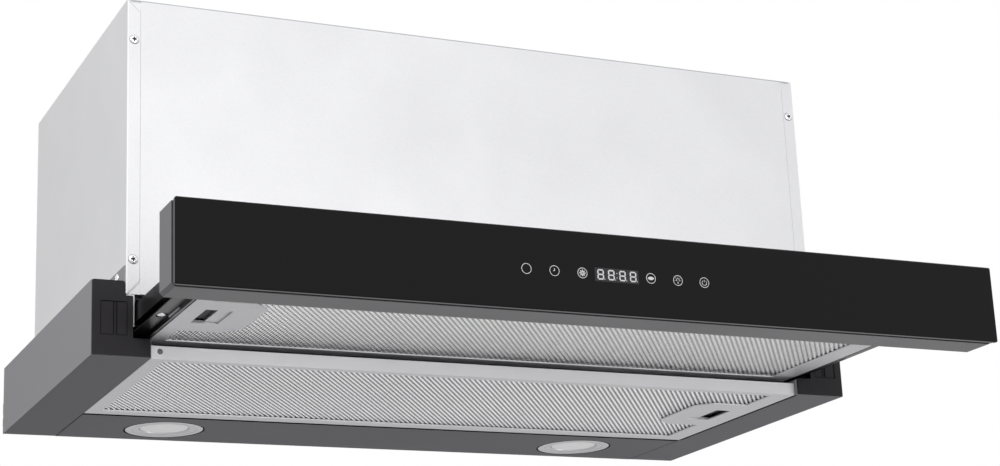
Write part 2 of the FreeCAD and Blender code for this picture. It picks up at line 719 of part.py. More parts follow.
def make_end_cap(side):
    """Plastic cap: a stepped face plate with two recessed fields and a slot between them, and
    a hollow plug that goes into the cheek."""
    body = new_body(f"end_cap_{SIDES[side]}")
    rim = half_width - 0.3
    top_x = casing_half + body_sheet
    step_x = rail_half + body_sheet + 0.4
    foot_x = cheek_inner + body_sheet
    outline = [(side * foot_x, 0), (side * rim, 0), (side * rim, body_height),
               (side * top_x, body_height), (side * top_x, cap_notch), (side * step_x, cap_notch),
               (side * step_x, cap_foot), (side * foot_x, cap_foot)]
    plate_back = cap_front + cap_thickness
    pad(body, "y", cap_front, plate_back, outline)
    plug_out = half_width - body_sheet - seam_gap
    plug_in = top_x + 1
    plug_low = body_sheet + seam_gap
    plug_high = body_height - body_sheet - seam_gap
    plug_back = plate_back + cap_plug_depth
    pad(body, "y", plate_back, plug_back,
        rectangle(side * plug_in, side * plug_out, plug_low, plug_high))
    pocket(body, "y", plate_back, plug_back,
           rectangle(side * (plug_in + cap_wall), side * (plug_out - cap_wall),
                     plug_low + cap_wall, plug_high - cap_wall))
    field_out = half_width - 6.2
    slot_out = half_width - 15.1
    slot_in = half_width - 17.3
    field_in = step_x + 4.2
    field_high = knockout_low + knockout_rise
    pocket(body, "y", cap_front, cap_front + knockout_depth,
           rectangle(side * slot_out, side * field_out, knockout_low, field_high),
           rectangle(side * field_in, side * slot_in, knockout_low, field_high))
    pocket(body, "y", cap_front, cap_front + knockout_depth * 2,
           rectangle(side * slot_in, side * slot_out, knockout_low, field_high))
    middle_y = (cap_front + plate_back) / 2

    def is_face_corner(middle, direction):
        corner = near(abs(middle.x), rim) or near(abs(middle.x), top_x) or near(abs(middle.x), step_x)
        return along(direction, "y") and near(middle.y, middle_y) and corner and middle.z > 1

    fillet(body, cap_corner / 2, is_face_corner)
    return body


def make_lamp_panel():
    """Tray behind the fixed filter: rear wall, bottom with two lamp holes, front return."""
    body = new_body("lamp_panel")
    half = cheek_inner - seam_gap
    path = [(0, body_height), (0, 0), (-lamp_panel_depth, 0), (-lamp_panel_depth, cheek_foot)]
    pad(body, "x", -half, half, bent_sheet(path, body_sheet, 1))
    pocket(body, "z", 0, body_sheet,
           *[many_sided(side * lamp_x, lamp_y, bezel_radius + bezel_gap, LAMP_SIDES) for side in SIDES])
    return body


def make_rail_plate(side):
    """Galvanised plate inside the casing wall that steps inwards and carries the slide."""
    body = new_body(f"rail_plate_{SIDES[side]}")
    wall = side * (casing_half - casing_sheet)
    rail = side * (rail_half + body_sheet)
    path = [(rail, drawer_rise + slide_rise - slide_gap), (rail, rail_shelf), (wall, rail_shelf),
            (wall, body_height + flange_rise - 2)]
    pad(body, "y", cap_front + cap_thickness, -rail_from_wall, bent_sheet(path, body_sheet, -side))
    upright = ordered(side, casing_half - casing_sheet - body_sheet, casing_half - casing_sheet)
    pocket(body, "x", upright[0], upright[1], *side_screw_holes())
    return body


def make_wall_clips():
    """Two small plastic clips behind each cheek."""
    clips = []
    for side in SIDES:
        edges = ordered(side, half_width - clip_width, half_width)
        for low, high in ((lower_clip_low, lower_clip_high), (upper_clip_low, upper_clip_high)):
            clips.append(block(edges[0], edges[1], -clip_thickness, 0, low, high))
    return group("wall_clips", clips)


# --- slides -----------------------------------------------------------------------------------
def slide_point(side, inward, up):
    """A point of a slide's section: inward from the rail plate, up from the slide's middle."""
    return (side * (rail_half - inward), slide_middle + up)


lip_inside = slide_height / 2 - slide_gauge
outer_row = lip_inside - ball_play - ball_radius
mid_half = outer_row - ball_radius - ball_play
inner_row = mid_half - slide_gauge - ball_play - ball_radius
inner_half = inner_row - ball_radius - ball_play
mid_web = slide_gauge + member_gap
outer_lip = slide_depth - slide_gauge * 3.2
mid_lip = slide_depth - slide_gauge * 1.4
inner_lip = mid_web + slide_gauge + 1
outer_ball = mid_web + slide_gauge * 0.6 + ball_radius
inner_ball = inner_lip + 0.4 + ball_radius
mid_shift = drawer_travel / 2


def hooked_channel(side, web, lip, half, hook):
    """C-shaped member: a web, two lips and the hooks at their ends."""
    points = [(lip, half - hook), (lip, half), (web, half), (web, -half), (lip, -half), (lip, hook - half)]
    path = [slide_point(side, inward, up) for inward, up in points]
    return bent_sheet(path, slide_gauge, side)


def make_slide(side):
    name = SIDES[side]
    outer = new_body(f"slide_outer_{name}")
    pad(outer, "y", slide_front, slide_front + slide_length,
        hooked_channel(side, as_size(0), outer_lip, slide_height / 2, slide_hook))
    middle = new_body(f"slide_mid_{name}")
    mid_front = slide_front - mid_shift
    pad(middle, "y", mid_front, mid_front + slide_length,
        hooked_channel(side, mid_web, mid_lip, mid_half, slide_hook - 0.1))
    inner = new_body(f"slide_inner_{name}")
    inner_front = slide_front - drawer_travel
    points = [(inner_lip, inner_half), (slide_depth, inner_half), (slide_depth, -inner_half),
              (inner_lip, -inner_half)]
    path = [slide_point(side, inward, up) for inward, up in points]
    pad(inner, "y", inner_front, inner_front + slide_length, bent_sheet(path, slide_gauge, -side))
    overlap = slide_length - mid_shift
    make_cage(f"ball_cage_outer_{name}", side, outer_ball, outer_row, slide_front + overlap / 2)
    make_cage(f"ball_cage_inner_{name}", side, inner_ball, inner_row, mid_front + overlap / 2)


def make_cage(label, side, inward, row, middle_y):
    """Two strips with a row of balls in each, above and below the slide's middle. A ball is a
    cube with all its edges cut back, and turns in a square hole."""
    count = int(ball_count.number)
    length = cage_length.number
    radius = ball_radius.number
    hole = (radius + cage_hole_play.number) * 2
    solids = []
    for way in (-1, 1):
        x, z = slide_point(side, inward, way * row)
        strip = Part.makeBox(cage_width.number, length, cage_sheet.number,
                             Vector(x.number - cage_width.number / 2, middle_y.number - length / 2,
                                    z.number - cage_sheet.number / 2))
        for index in range(count):
            y = middle_y.number + length * ((index + 0.5) / count - 0.5)
            corner = Vector(x.number - hole / 2, y - hole / 2, z.number - cage_sheet.number)
            strip = strip.cut(Part.makeBox(hole, hole, cage_sheet.number * 2, corner))
            foot = Vector(x.number - radius, y - radius, z.number - radius)
            cube = Part.makeBox(radius * 2, radius * 2, radius * 2, foot)
            solids.append(cube.makeChamfer(ball_cut.number, cube.Edges))
        solids.append(strip)
    return new_shape(label, Part.makeCompound(solids))


# --- filters ----------------------------------------------------------------------------------
def make_filter(name, front, back, low, latch_side):
    """An aluminium frame with a lip at its foot and its top, hinge tabs on one side and a
    finger latch on the other, and the layered mesh that it holds."""
    high = low + filter_height
    outer = rectangle(-filter_half, filter_half, front, back)

    def inset(size):
        return rectangle(-filter_half + size, filter_half - size, front + size, back - size)

    frame = new_body(f"{name}_filter_frame")
    window = rectangle(filter_border - filter_half, filter_half - filter_border_right,
                       front + filter_border_front, back - filter_border_back)
    pad(frame, "z", low, low + filter_sheet, outer, window)
    middle = latch_middle(front, back, latch_side)
    window_edge = filter_half - (filter_border_right if latch_side == RIGHT else filter_border)
    plate_out = window_edge + 0.5
    plate_in = window_edge - latch_plate_width
    corner = latch_plate_corner
    half = latch_plate_length / 2
    hole_out = window_edge - finger_hole_inset
    hole_in = hole_out - finger_hole_width
    hole_half = finger_hole_length / 2
    plate = [(latch_side * across, middle + up) for across, up in (
        (plate_out, -half), (plate_in + corner, -half), (plate_in, corner - half),
        (plate_in, half - corner), (plate_in + corner, half), (plate_out, half))]
    hole = rectangle(latch_side * hole_in, latch_side * hole_out, middle - hole_half, middle + hole_half)
    pad(frame, "z", low, low + filter_sheet, plate, hole)
    pad(frame, "z", low, high, outer, inset(filter_sheet))
    pad(frame, "z", high - filter_sheet, high, outer, inset(filter_lip))
    cover = finger_hole_length / 2 + latch_shoulder + latch_play
    cover_in = hole_in - latch_shoulder - latch_stroke - latch_play
    pad(frame, "z", high - filter_sheet, high,
        rectangle(*ordered(latch_side, cover_in, filter_half - 1), middle - cover, middle + cover))
    tabs = [rectangle(*ordered(-latch_side, filter_half - filter_sheet, filter_half + catch_reach),
                      tab - tab_width / 2, tab + tab_width / 2) for tab in tab_middles(front, back)]
    tab_low = low + filter_sheet * 2
    pad(frame, "z", tab_low, tab_low + filter_sheet, *tabs)
    bolt_half = bolt_width / 2 + latch_play
    latch_low = low + filter_sheet + latch_play
    wall = ordered(latch_side, filter_half - filter_sheet, filter_half)
    pocket(frame, "x", wall[0], wall[1],
           rectangle(middle - bolt_half, middle + bolt_half, low + filter_sheet,
                     latch_low + latch_sheet + latch_play))
    make_mesh(name, front, back, low, latch_side, hole_in, middle)
    make_latch(name, middle, latch_low, latch_side, hole_in, hole_out)
    return frame


def make_mesh(name, front, back, low, latch_side, hole_in, middle):
    """Three layers between the frame's foot and its lip: a flat facing, a crimped middle layer
    and a flat back, all cut out round the sliding latch."""
    side = (filter_half - filter_sheet).number
    start = (front + filter_sheet).number
    depth = (back - filter_sheet).number - start
    foot = (low + filter_sheet).number
    top = (low + filter_height - filter_sheet).number
    thick = mesh_sheet.number
    facing = Part.makeBox(side * 2, depth, thick, Vector(-side, start, foot))
    backing = Part.makeBox(side * 2, depth, thick, Vector(-side, start, top - thick))
    waves = round(side * 2 / mesh_pitch.number)
    levels = (foot + thick, top - thick * 2)
    lower = [Vector(-side + side * index / waves, start, levels[index % 2])
             for index in range(waves * 2 + 1)]
    upper = [point + Vector(0, 0, thick) for point in reversed(lower)]
    crimped = Part.Face(Part.makePolygon(lower + upper + lower[:1])).extrude(Vector(0, depth, 0))
    reach = finger_hole_length.number / 2 + latch_shoulder.number + latch_play.number
    inner_edge = (hole_in - latch_shoulder - latch_stroke - latch_play).number
    corner_x = inner_edge if latch_side == RIGHT else -side
    corner = Vector(corner_x, middle.number - reach, foot)
    room = Part.makeBox(side - inner_edge, reach * 2, top - foot, corner)
    layers = [layer.cut(room) for layer in (facing, crimped, backing)]
    return new_shape(f"{name}_filter_mesh", Part.makeCompound(layers))


def make_latch(name, middle, low, latch_side, hole_in, hole_out):
    """The sliding latch: a plate with a well for a fingertip, and the bolt at its end."""
    latch = new_body(f"{name}_filter_latch")
    high = low + latch_sheet
    half = finger_hole_length / 2 + latch_shoulder
    plate_end = filter_half - filter_sheet - latch_stroke
    plate = rectangle(*ordered(latch_side, hole_in - latch_shoulder, plate_end),
                      middle - half, middle + half)
    well_in = (hole_in + hole_out) / 2
    well_half = finger_hole_length / 2 + 1
    well = rectangle(*ordered(latch_side, well_in, hole_out + latch_stroke + 1),
                     middle - well_half, middle + well_half)
    pad(latch, "z", low, high, plate, well)
    bolt_half = bolt_width / 2
    pad(latch, "z", low, high,
        rectangle(*ordered(latch_side, plate_end - 1, filter_half + catch_reach),
                  middle - bolt_half, middle + bolt_half))
    return latch


def make_filters():
    frame = make_filter("fixed", fixed_filter_front, fixed_filter_back, as_size(0), RIGHT)
    pocket(frame, "y", fixed_filter_front, fixed_filter_front + filter_sheet,
           many_sided(rivet_inset - filter_half, filter_height / 2 + 0.7, rivet_radius, 8))
    make_filter("drawer", drawer_filter_front, drawer_filter_back, drawer_rise, LEFT)


# --- drawer -----------------------------------------------------------------------------------
def make_drawer_frame():
    """Open frame round the drawer's filter: a wall on all sides, a lip at the top, and a tongue
    that reaches into the front trim."""
    body = new_body("drawer_frame")
    half = frame_half
    low = drawer_rise
    high = drawer_rise + drawer_frame_height
    wall = drawer_sheet
    front = drawer_frame_front - wall
    back = drawer_frame_back
    pad(body, "z", low, high, rectangle(-half, half, front, back),
        rectangle(wall - half, half - wall, front + wall, back - wall))
    lip = drawer_frame_lip
    pad(body, "z", high - wall, high, rectangle(-half, half, front, back),
        rectangle(lip - half, half - lip, front + lip, back - lip))
    tongue_half = half - lip
    trim_inside = trim_front + trim_wall
    pad(body, "z", high - wall, high, rectangle(-tongue_half, tongue_half, trim_inside, front + wall))
    pad(body, "y", trim_inside, trim_inside + wall,
        rectangle(-tongue_half, tongue_half, high - wall, high + tongue_rise))
    for side in SIDES:
        wall_x = ordered(side, half - wall, half)
        pocket(body, "x", wall_x[0], wall_x[1],
               *catch_slots(drawer_filter_front, drawer_filter_back, drawer_rise, LEFT, side))
    return body


def make_slide_bracket(side):
    """Black angle on the drawer's side: its web carries the slide's inner member, its foot runs
    outwards under the slide and has an oblong hole."""
    body = new_body(f"slide_bracket_{SIDES[side]}")
    low = drawer_rise + bracket_rise
    inner = bracket_half - bracket_sheet
    foot_x = bracket_half + bracket_flange
    front = trim_back + 0.4
    back = slide_front - drawer_travel + slide_length
    web = ordered(side, inner, bracket_half)
    pad(body, "y", front, back, rectangle(web[0], web[1], drawer_rise, slide_middle + mid_half))
    foot = ordered(side, bracket_half, foot_x)
    pad(body, "y", front, back, rectangle(foot[0], foot[1], low, low + bracket_sheet))
    slot_x = (foot_x + bracket_half) / 2
    slot_y = cap_front - slot_ahead
    across = bracket_slot_width / 2
    half = bracket_slot_length / 2
    pocket(body, "z", low, low + bracket_sheet,
           rectangle(side * (slot_x - across), side * (slot_x + across), slot_y - half, slot_y + half))
    catch_room = ordered(side, inner, bracket_half + latch_play * 5)
    pocket(body, "x", catch_room[0], catch_room[1],
           *catch_slots(drawer_filter_front, drawer_filter_back, drawer_rise, LEFT, side))

    def is_slot_corner(middle, direction):
        return along(direction, "z") and abs(abs(middle.x) - slot_x.number) < across.number + 0.01

    chamfer(body, bracket_slot_width / 3, is_slot_corner)
    return body


def make_front():
    """Glass, its plastic carrier, the aluminium trim with its two plastic ends, and the board."""
    glass = new_body("front_glass")
    glass_half = glass_width / 2
    glass_high = glass_low + glass_height
    pad(glass, "y", glass_front, carrier_front, rectangle(-glass_half, glass_half, glass_low, glass_high))
    chamfer(glass, glass_bevel, lambda middle, direction: near(middle.y, glass_front))
    carrier = new_body("glass_carrier")
    edge = carrier_inset
    pad(carrier, "y", carrier_front, trim_front,
        rectangle(edge - glass_half, glass_half - edge, glass_low + edge, glass_high - edge))
    board_half = board_width / 2
    room = board_half + 2
    low = board_middle - board_height / 2
    high = board_middle + board_height / 2
    board_front = trim_front - board_thickness - seam_gap
    pocket(carrier, "y", board_front, trim_front, rectangle(-room, room, low - 2, high + 2))
    board = new_body("control_board")
    pad(board, "y", board_front, board_front + board_thickness,
        rectangle(-board_half, board_half, low, high))
    trim = new_body("front_trim")
    trim_half = glass_half - trim_end_thickness
    trim_high = trim_low + trim_height
    path = [(trim_back, trim_low + trim_lip), (trim_back, trim_low), (trim_front, trim_low),
            (trim_front, trim_high), (trim_back, trim_high), (trim_back, trim_high - trim_lip)]
    pad(trim, "x", -trim_half, trim_half, bent_sheet(path, trim_wall, 1))
    for side in SIDES:
        make_trim_end(side, trim_half, trim_high)


def make_trim_end(side, trim_half, trim_high):
    """Plastic end of the trim: a bevelled plate and a hollow plug inside the profile."""
    body = new_body(f"trim_end_{SIDES[side]}")
    glass_half = trim_half + trim_end_thickness
    plate = ordered(side, trim_half, glass_half)
    pad(body, "x", plate[0], plate[1], rectangle(trim_front, trim_back, trim_low, trim_high))
    chamfer(body, trim_end_bevel - 0.6,
            lambda middle, direction: near(abs(middle.x), glass_half) and near(middle.z, trim_low))
    inset = trim_wall + seam_gap
    plug = ordered(side, trim_half - trim_plug_depth, trim_half)
    pad(body, "x", plug[0], plug[1],
        rectangle(trim_front + inset, trim_back - inset, trim_low + inset, trim_high - inset))
    hollow = inset + trim_wall
    pocket(body, "x", plug[0], plug[1],
           rectangle(trim_front + hollow, trim_back - hollow, trim_low + hollow, trim_high - hollow))
    return body


# --- lamps ------------------------------------------------------------------------------------
def make_lamp(side):
    """A stepped bezel flush with the panel, its frosted lens, and the lamp module above them."""
    name = SIDES[side]
    x = side * lamp_x
    place = (x, lamp_y, 0)
    stacked(f"lamp_bezel_{name}", [(0, bezel_height, bezel_radius)],
            [(0, bezel_step_depth, bezel_step),
             (bezel_step_depth, bezel_height, lens_radius + seam_gap)], *place)
    stacked(f"lamp_lens_{name}", [(bezel_step_depth + 0.3, bezel_height, lens_radius)], [], *place)
    rim = bezel_radius + bezel_gap + module_rim
    stacked(f"lamp_module_{name}",
            [(body_sheet, bezel_height + 2, rim), (bezel_height + 2, module_height, rim - module_taper)],
            [(body_sheet, bezel_height, bezel_radius + bezel_gap)], *place)


# --- blower -----------------------------------------------------------------------------------
def flat(y, z):
    return Vector(0, as_size(y).number, as_size(z).number)


def flow_outline():
    """The scroll seen from the side: three arcs whose radius grows a step each quarter, their
    centres moved so that they join smoothly, in chords, and the throat up to the lid."""
    step = scroll_step.number
    axis = flat(axis_y, scroll_height)
    centres = (axis, axis + Vector(0, step, 0), axis + Vector(0, step, step))
    radii = [scroll_base.number + step * count for count in range(3)]

    def on_arc(count, degrees):
        angle = math.radians(degrees)
        return centres[count] + Vector(0, math.cos(angle), math.sin(angle)) * radii[count]

    outline = [flat(duct_y - duct_bore, lid_under), on_arc(0, SCROLL_TONGUE)]
    for count, (first, last) in enumerate(((SCROLL_TONGUE, 180), (180, 270), (270, 360))):
        outline += [on_arc(count, turn + SCROLL_CHORD) for turn in range(first, last, SCROLL_CHORD)]
    outline.append(flat(duct_y + duct_bore, lid_under))
    return Part.Face(Part.makePolygon(outline + outline[:1]))


def below_lid(shape):
    """What lies under the lid's underside."""
    reach = hood_depth.number
    corner = Vector(-reach * 2, -reach * 2, lid_under.number - reach * 4)
    room = Part.makeBox(reach * 4, reach * 4, reach * 4, corner)
    return shape.common(room)


def flat_sided(middle, radius, run):
    """A column with as many flat sides as the impeller, along a run in X."""
    count = int(blade_count.number)
    turns = [2 * math.pi * index / count for index in range(count + 1)]
    return Part.Face(Part.makePolygon(
        [middle + Vector(0, math.cos(turn), math.sin(turn)) * radius for turn in turns])).extrude(run)


def make_blower():
    flow = flow_outline()
    outside = flow.makeOffset2D(scroll_wall.number, join=2)
    wide = scroll_half.number
    shell = outside.extrude(Vector(wide * 2, 0, 0)).cut(flow.extrude(Vector(wide * 2, 0, 0)))
    shell.translate(Vector(-wide, 0, 0))
    new_shape("blower_scroll", below_lid(shell))
    thick = side_plate.number
    for side in SIDES:
        plate = outside.extrude(Vector(side * thick, 0, 0))
        plate.translate(Vector(side * wide, 0, 0))
        axis = flat(axis_y, scroll_height)
        inlet = inlet_radius.number
        inward = Vector(-side, 0, 0)
        start = axis + Vector(side * (wide + thick), 0, 0)
        lip = flat_sided(start, inlet, inward * (inlet_lip.number + thick))
        bore = flat_sided(start - inward, inlet - thick, inward * inlet_lip.number * 2)
        new_shape(f"blower_plate_{SIDES[side]}",
                  Part.makeCompound([below_lid(plate.cut(lip)), lip.cut(bore)]))
    make_impeller()
    make_motor()


def make_impeller():
    """Double-inlet wheel: a middle disc with a hub, a ring at each end, and forward-curved
    blades that run the whole width between them."""
    half = impeller_width / 2
    root = impeller_radius - blade_depth
    place = (0, axis_y, scroll_height)
    wheel = new_body("impeller")
    pad(wheel, "x", -impeller_disc / 2, impeller_disc / 2, many_sided(0, 0, root, 36), (0, 0, shaft_radius))
    pad(wheel, "x", -hub_length / 2, hub_length / 2, many_sided(0, 0, hub_radius, 18), (0, 0, shaft_radius))
    bind(wheel, "Placement.Base.y", axis_y)
    bind(wheel, "Placement.Base.z", scroll_height)
    rings = [stacked("Ring", [(low, low + impeller_ring, impeller_radius)],
                     [(low, low + impeller_ring, root)],
                     *place, "x", 36, alone=False) for low in (-half, half - impeller_ring)]
    group("impeller_rings", rings)
    corners = [flat(as_size(across), as_size(up)) for across, up in blade_section(root)]
    corners = [corner + Vector((impeller_ring - half).number, 0, 0) for corner in corners]
    blade = Part.Face(Part.makePolygon(corners + corners[:1]))
    blade = blade.extrude(Vector((impeller_width - impeller_ring * 2).number, 0, 0))
    middle = flat(axis_y, scroll_height)
    blades = []
    for index in range(int(blade_count.number)):
        copy = blade.copy()
        copy.rotate(Vector(0, 0, 0), Vector(1, 0, 0), 360 * index / blade_count.number)
        blades.append(copy.translated(middle))
    new_shape("impeller_blades", Part.makeCompound(blades))


def blade_section(root):
    """A forward-curved blade in the wheel's plane, thin and bent once at half its depth."""
    half = blade_sheet / 2
    tip = impeller_radius - 0.3
    bend = root + blade_depth * 0.5
    lean = blade_depth * 0.16
    sweep = blade_depth * 0.5
    return [(root + 0.3, -half), (bend, lean - half), (tip, sweep - half), (tip, sweep + half * 1.6),
            (bend - half, lean + half), (root + 0.3, half)]


def make_motor():
    """The motor sits in the wheel's left half, on a three-armed bracket outside the left plate;
    its shaft runs through the wheel's hub."""
    face = -hub_length / 2 - motor_gap
    rear = face - motor_length
    bracket = -scroll_half - side_plate
    bore = shaft_radius + shaft_play
    stacked("blower_motor", [(0, 8, motor_radius * 0.5), (8, motor_length, motor_radius),
                             (motor_length, face - bracket, motor_boss)],
            [(0, motor_length - 6, bore)], face, axis_y, scroll_height, "-x", 24)
    shaft_tail = rear + 6.5
    shaft_run = hub_length / 2 - shaft_tail
    shaft = [(0, 0), (shaft_radius, 0), (shaft_radius, shaft_run), (0, shaft_run)]
    turned("motor_shaft", [shaft], shaft_tail, axis_y, scroll_height, "x")
    spider = new_body("motor_spider")
    reach = inlet_radius + 6
    pad(spider, "x", bracket - spider_sheet, bracket, many_sided(0, 0, motor_boss + 6, 24))
    arm_half = spider_arm / 2
    arm = pad(spider, "x", bracket - spider_sheet, bracket,
              rectangle(motor_boss, reach, -arm_half, arm_half))
    pattern = spider.newObject("PartDesign::PolarPattern", "Arms")
    pattern.Originals = [arm]
    pattern.Axis = (origin_feature(spider, "X_Axis"), [""])
    pattern.Angle = 360
    pattern.Occurrences = 3
    spider.Tip = pattern
    bind(spider, "Placement.Base.y", axis_y)
    bind(spider, "Placement.Base.z", scroll_height)
    doc.recompute()


# --- outlet -----------------------------------------------------------------------------------
def make_outlet():
    """Round outlet with a flange on the lid, stops for its two non-return flaps, a bar across
    the middle and four holes for the flaps' pins."""
    low = casing_top_z
    collar = new_body("duct_collar")
    bore = many_sided(0, duct_y, duct_bore, DUCT_SIDES)
    flange = many_sided(0, duct_y, duct_radius + duct_flange, DUCT_SIDES)
    pad(collar, "z", low, low + duct_flange_sheet, flange, bore)
    pad(collar, "z", low, low + duct_rise, (0, duct_y, duct_radius), bore)
    stop_high = flap_z - flap_sheet / 2 - 0.3
    pad(collar, "z", stop_high - duct_flange_sheet, stop_high,
        *[rectangle(*ordered(side, duct_bore - stop_reach, duct_radius - 0.5),
                    duct_y - stop_half, duct_y + stop_half) for side in SIDES])
    bar_reach = duct_bore + 0.5
    pad(collar, "z", low + duct_flange_sheet, flap_z + flap_pin * 2,
        rectangle(-bar_half, bar_half, duct_y - bar_reach, duct_y + bar_reach))
    pocket(collar, "y", duct_y - duct_radius - 1, duct_y + duct_radius + 1,
           *[many_sided(side * flap_offset, flap_z, pin_hole, 8) for side in SIDES])
    for side in SIDES:
        make_flap(side)


def make_flap(side):
    """Half of the closing disc, a barrel along its straight edge and a pin at each end."""
    flap = new_body(f"damper_flap_{SIDES[side]}")
    half = flap_sheet / 2
    pad(flap, "z", flap_z - half, flap_z + half, many_sided(0, duct_y, duct_bore - flap_gap, DUCT_SIDES))
    straight = side * flap_offset
    beyond = -side * duct_radius
    away = (straight, beyond) if side == LEFT else (beyond, straight)
    spare = rectangle(*away, duct_y - duct_radius, duct_y + duct_radius)
    pocket(flap, "z", flap_z - half, flap_z + half, spare)
    barrel = duct_bore - flap_gap * 2
    pad(flap, "y", duct_y - barrel, duct_y + barrel, many_sided(straight, flap_z, flap_pin + 0.3, 8))
    pins = duct_radius - 0.4
    pad(flap, "y", duct_y - pins, duct_y + pins, many_sided(straight, flap_z, flap_pin, 8))
    return flap


# --- electrics --------------------------------------------------------------------------------
def make_electrics():
    wall_y = casing_back_y - casing_sheet
    box = new_body("control_box")
    pad(box, "y", wall_y - box_depth, wall_y,
        rectangle(box_left_edge, box_left_edge + box_width, box_low, box_low + box_height))
    chamfer(box, box_corner, lambda middle, direction: along(direction, "y"))
    capacitor = new_body("capacitor")
    middle_x = box_left_edge - capacitor_radius - 4
    middle_y = wall_y - capacitor_foot - capacitor_radius
    pad(capacitor, "z", box_low, box_low + capacitor_height,
        many_sided(middle_x, middle_y, capacitor_radius, 24))
    clip_half = capacitor_radius / 2
    pad(capacitor, "z", box_low + clip_half, box_low + capacitor_height / 2,
        rectangle(middle_x - clip_half, middle_x + clip_half, middle_y, wall_y))
    gland_low = casing_top_z - gland_drop
    thread = gland_radius - 1.2
    nut = gland_radius + 1.5
    under = gland_drop - casing_sheet
    gland = new_body("cable_gland")
    middle = (gland_right, -gland_from_wall)
    grip = gland_drop + gland_grip
    for low, high, outline in (
            (0, under, many_sided(*middle, nut, 6)),
            (under, gland_drop, many_sided(*middle, thread, GLAND_SIDES)),
            (gland_drop, grip, many_sided(*middle, nut, 6)),
            (grip, gland_drop + gland_rise, many_sided(*middle, gland_radius, GLAND_SIDES))):
        pad(gland, "z", gland_low + low, gland_low + high, outline, (*middle, gland_bore))


# --- fasteners --------------------------------------------------------------------------------
def make_screws():
    """Pan heads on the front flanges and on the cheeks' upright flanges."""
    layers = [(0, screw_reach, screw_shank), (screw_reach, screw_reach + screw_head_rise, screw_head)]
    screws = []
    for side in SIDES:
        for height in screw_heights:
            screws.append(stacked("FrontScrew", layers, [], side * screw_x, casing_front_y + screw_reach,
                                  height, "-y", SCREW_SIDES, alone=False))
        head_x = casing_half + body_sheet
        for y in side_screw_ys:
            screws.append(stacked("SideScrew", layers, [], side * (head_x - screw_reach), y, side_screw_z,
                                  "x" if side == RIGHT else "-x", SCREW_SIDES, alone=False))
    return group("casing_screws", screws)


# --- build, check, write ----------------------------------------------------------------------
def check_document():
    for item in doc.Objects:
        if "Invalid" in item.State or "Error" in item.State:
            raise RuntimeError(f"{item.Label} failed: {item.State}")
    labels = [part.Label for part in subparts]
    if len(set(labels)) != len(labels):
        raise RuntimeError("two sub-parts share a label")
    for part in subparts:
        if part.Shape.isNull() or not part.Shape.isValid() or not part.Shape.Solids:
            raise RuntimeError(f"{part.Label} has no valid solid")


def write_steps():
    os.makedirs("parts", exist_ok=True)
    for part in subparts:
        part.Shape.exportStep(f"parts/{part.Label}.step")
        volume = part.Shape.Volume / 1000
        print(f"{part.Label:24s} {len(part.Shape.Solids):2d} solids {volume:9.2f} cm3")


make_casing()
for side in SIDES:
    make_cheek(side)
    make_end_cap(side)
    make_rail_plate(side)
    make_slide(side)
    make_slide_bracket(side)
    make_lamp(side)
make_lamp_panel()
make_wall_clips()
make_filters()
make_drawer_frame()
make_front()
make_blower()
make_outlet()
make_electrics()
make_screws()
doc.recompute()
check_document()
write_steps()
print(f"{len(subparts)} nodes")
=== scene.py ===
# %% [markdown]
# # A pull-out range hood
# The hood hangs under a wall cabinet. A galvanised casing holds the fan, a graphite body holds the
# lamps and a metal filter, and a drawer with a second filter slides out behind a black glass front.
# Most of it is folded sheet, which CAD solids already show well. What they lack is what light meets
# on a real one: pressed mesh, rounded glass edges, screw recesses, grain and finger marks. This
# lesson adds those, piece by piece.

# %% Tools
import json
import math

import bmesh
import bpy
import numpy as np
from mathutils import Matrix, Vector


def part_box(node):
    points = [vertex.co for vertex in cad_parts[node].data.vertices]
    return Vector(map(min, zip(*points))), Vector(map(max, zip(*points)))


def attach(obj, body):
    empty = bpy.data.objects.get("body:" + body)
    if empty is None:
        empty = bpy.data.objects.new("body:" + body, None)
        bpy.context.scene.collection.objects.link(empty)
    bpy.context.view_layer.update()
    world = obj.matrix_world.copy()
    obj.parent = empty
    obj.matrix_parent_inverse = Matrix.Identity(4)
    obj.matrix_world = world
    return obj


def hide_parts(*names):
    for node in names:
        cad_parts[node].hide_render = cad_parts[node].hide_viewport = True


# %% The CAD frame
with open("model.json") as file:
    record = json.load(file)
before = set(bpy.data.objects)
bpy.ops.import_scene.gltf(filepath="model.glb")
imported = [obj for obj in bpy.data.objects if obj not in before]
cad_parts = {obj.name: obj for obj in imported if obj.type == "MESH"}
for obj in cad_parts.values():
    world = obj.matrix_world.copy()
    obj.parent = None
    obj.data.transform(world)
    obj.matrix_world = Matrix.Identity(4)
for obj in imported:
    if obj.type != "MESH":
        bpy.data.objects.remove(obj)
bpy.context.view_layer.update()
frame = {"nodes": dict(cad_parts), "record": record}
nodes = frame["nodes"]
MM = 0.001

# %% [markdown]
# ## The camera
# The photograph looks up at the hood from the front left, from below its underside. Such a view is
# set by a place, three turns and a focal length. All of them were found by matching corners of known
# size, so the camera is written down as numbers and not aimed by hand at a target.

# %% Camera
CAMERA_PLACE = Vector((-0.6428, -1.6654, -0.3373))
CAMERA_YAW = math.radians(25.173)
CAMERA_PITCH = math.radians(16.297)
CAMERA_ROLL = math.radians(-2.549)
LENS_PER_SENSOR = 2.1418


def aim(yaw, pitch, roll):
    """The view direction is the yaw turned right from +Y and the pitch raised above the level; the
    roll turns the picture's right and up about it. The camera looks along its own -Z."""
    forward = Vector((math.sin(yaw) * math.cos(pitch), math.cos(yaw) * math.cos(pitch), math.sin(pitch)))
    level = Vector((math.cos(yaw), -math.sin(yaw), 0))
    above = level.cross(forward)
    right = math.cos(roll) * level + math.sin(roll) * above
    up = -math.sin(roll) * level + math.cos(roll) * above
    return Matrix((right, up, -forward)).transposed()


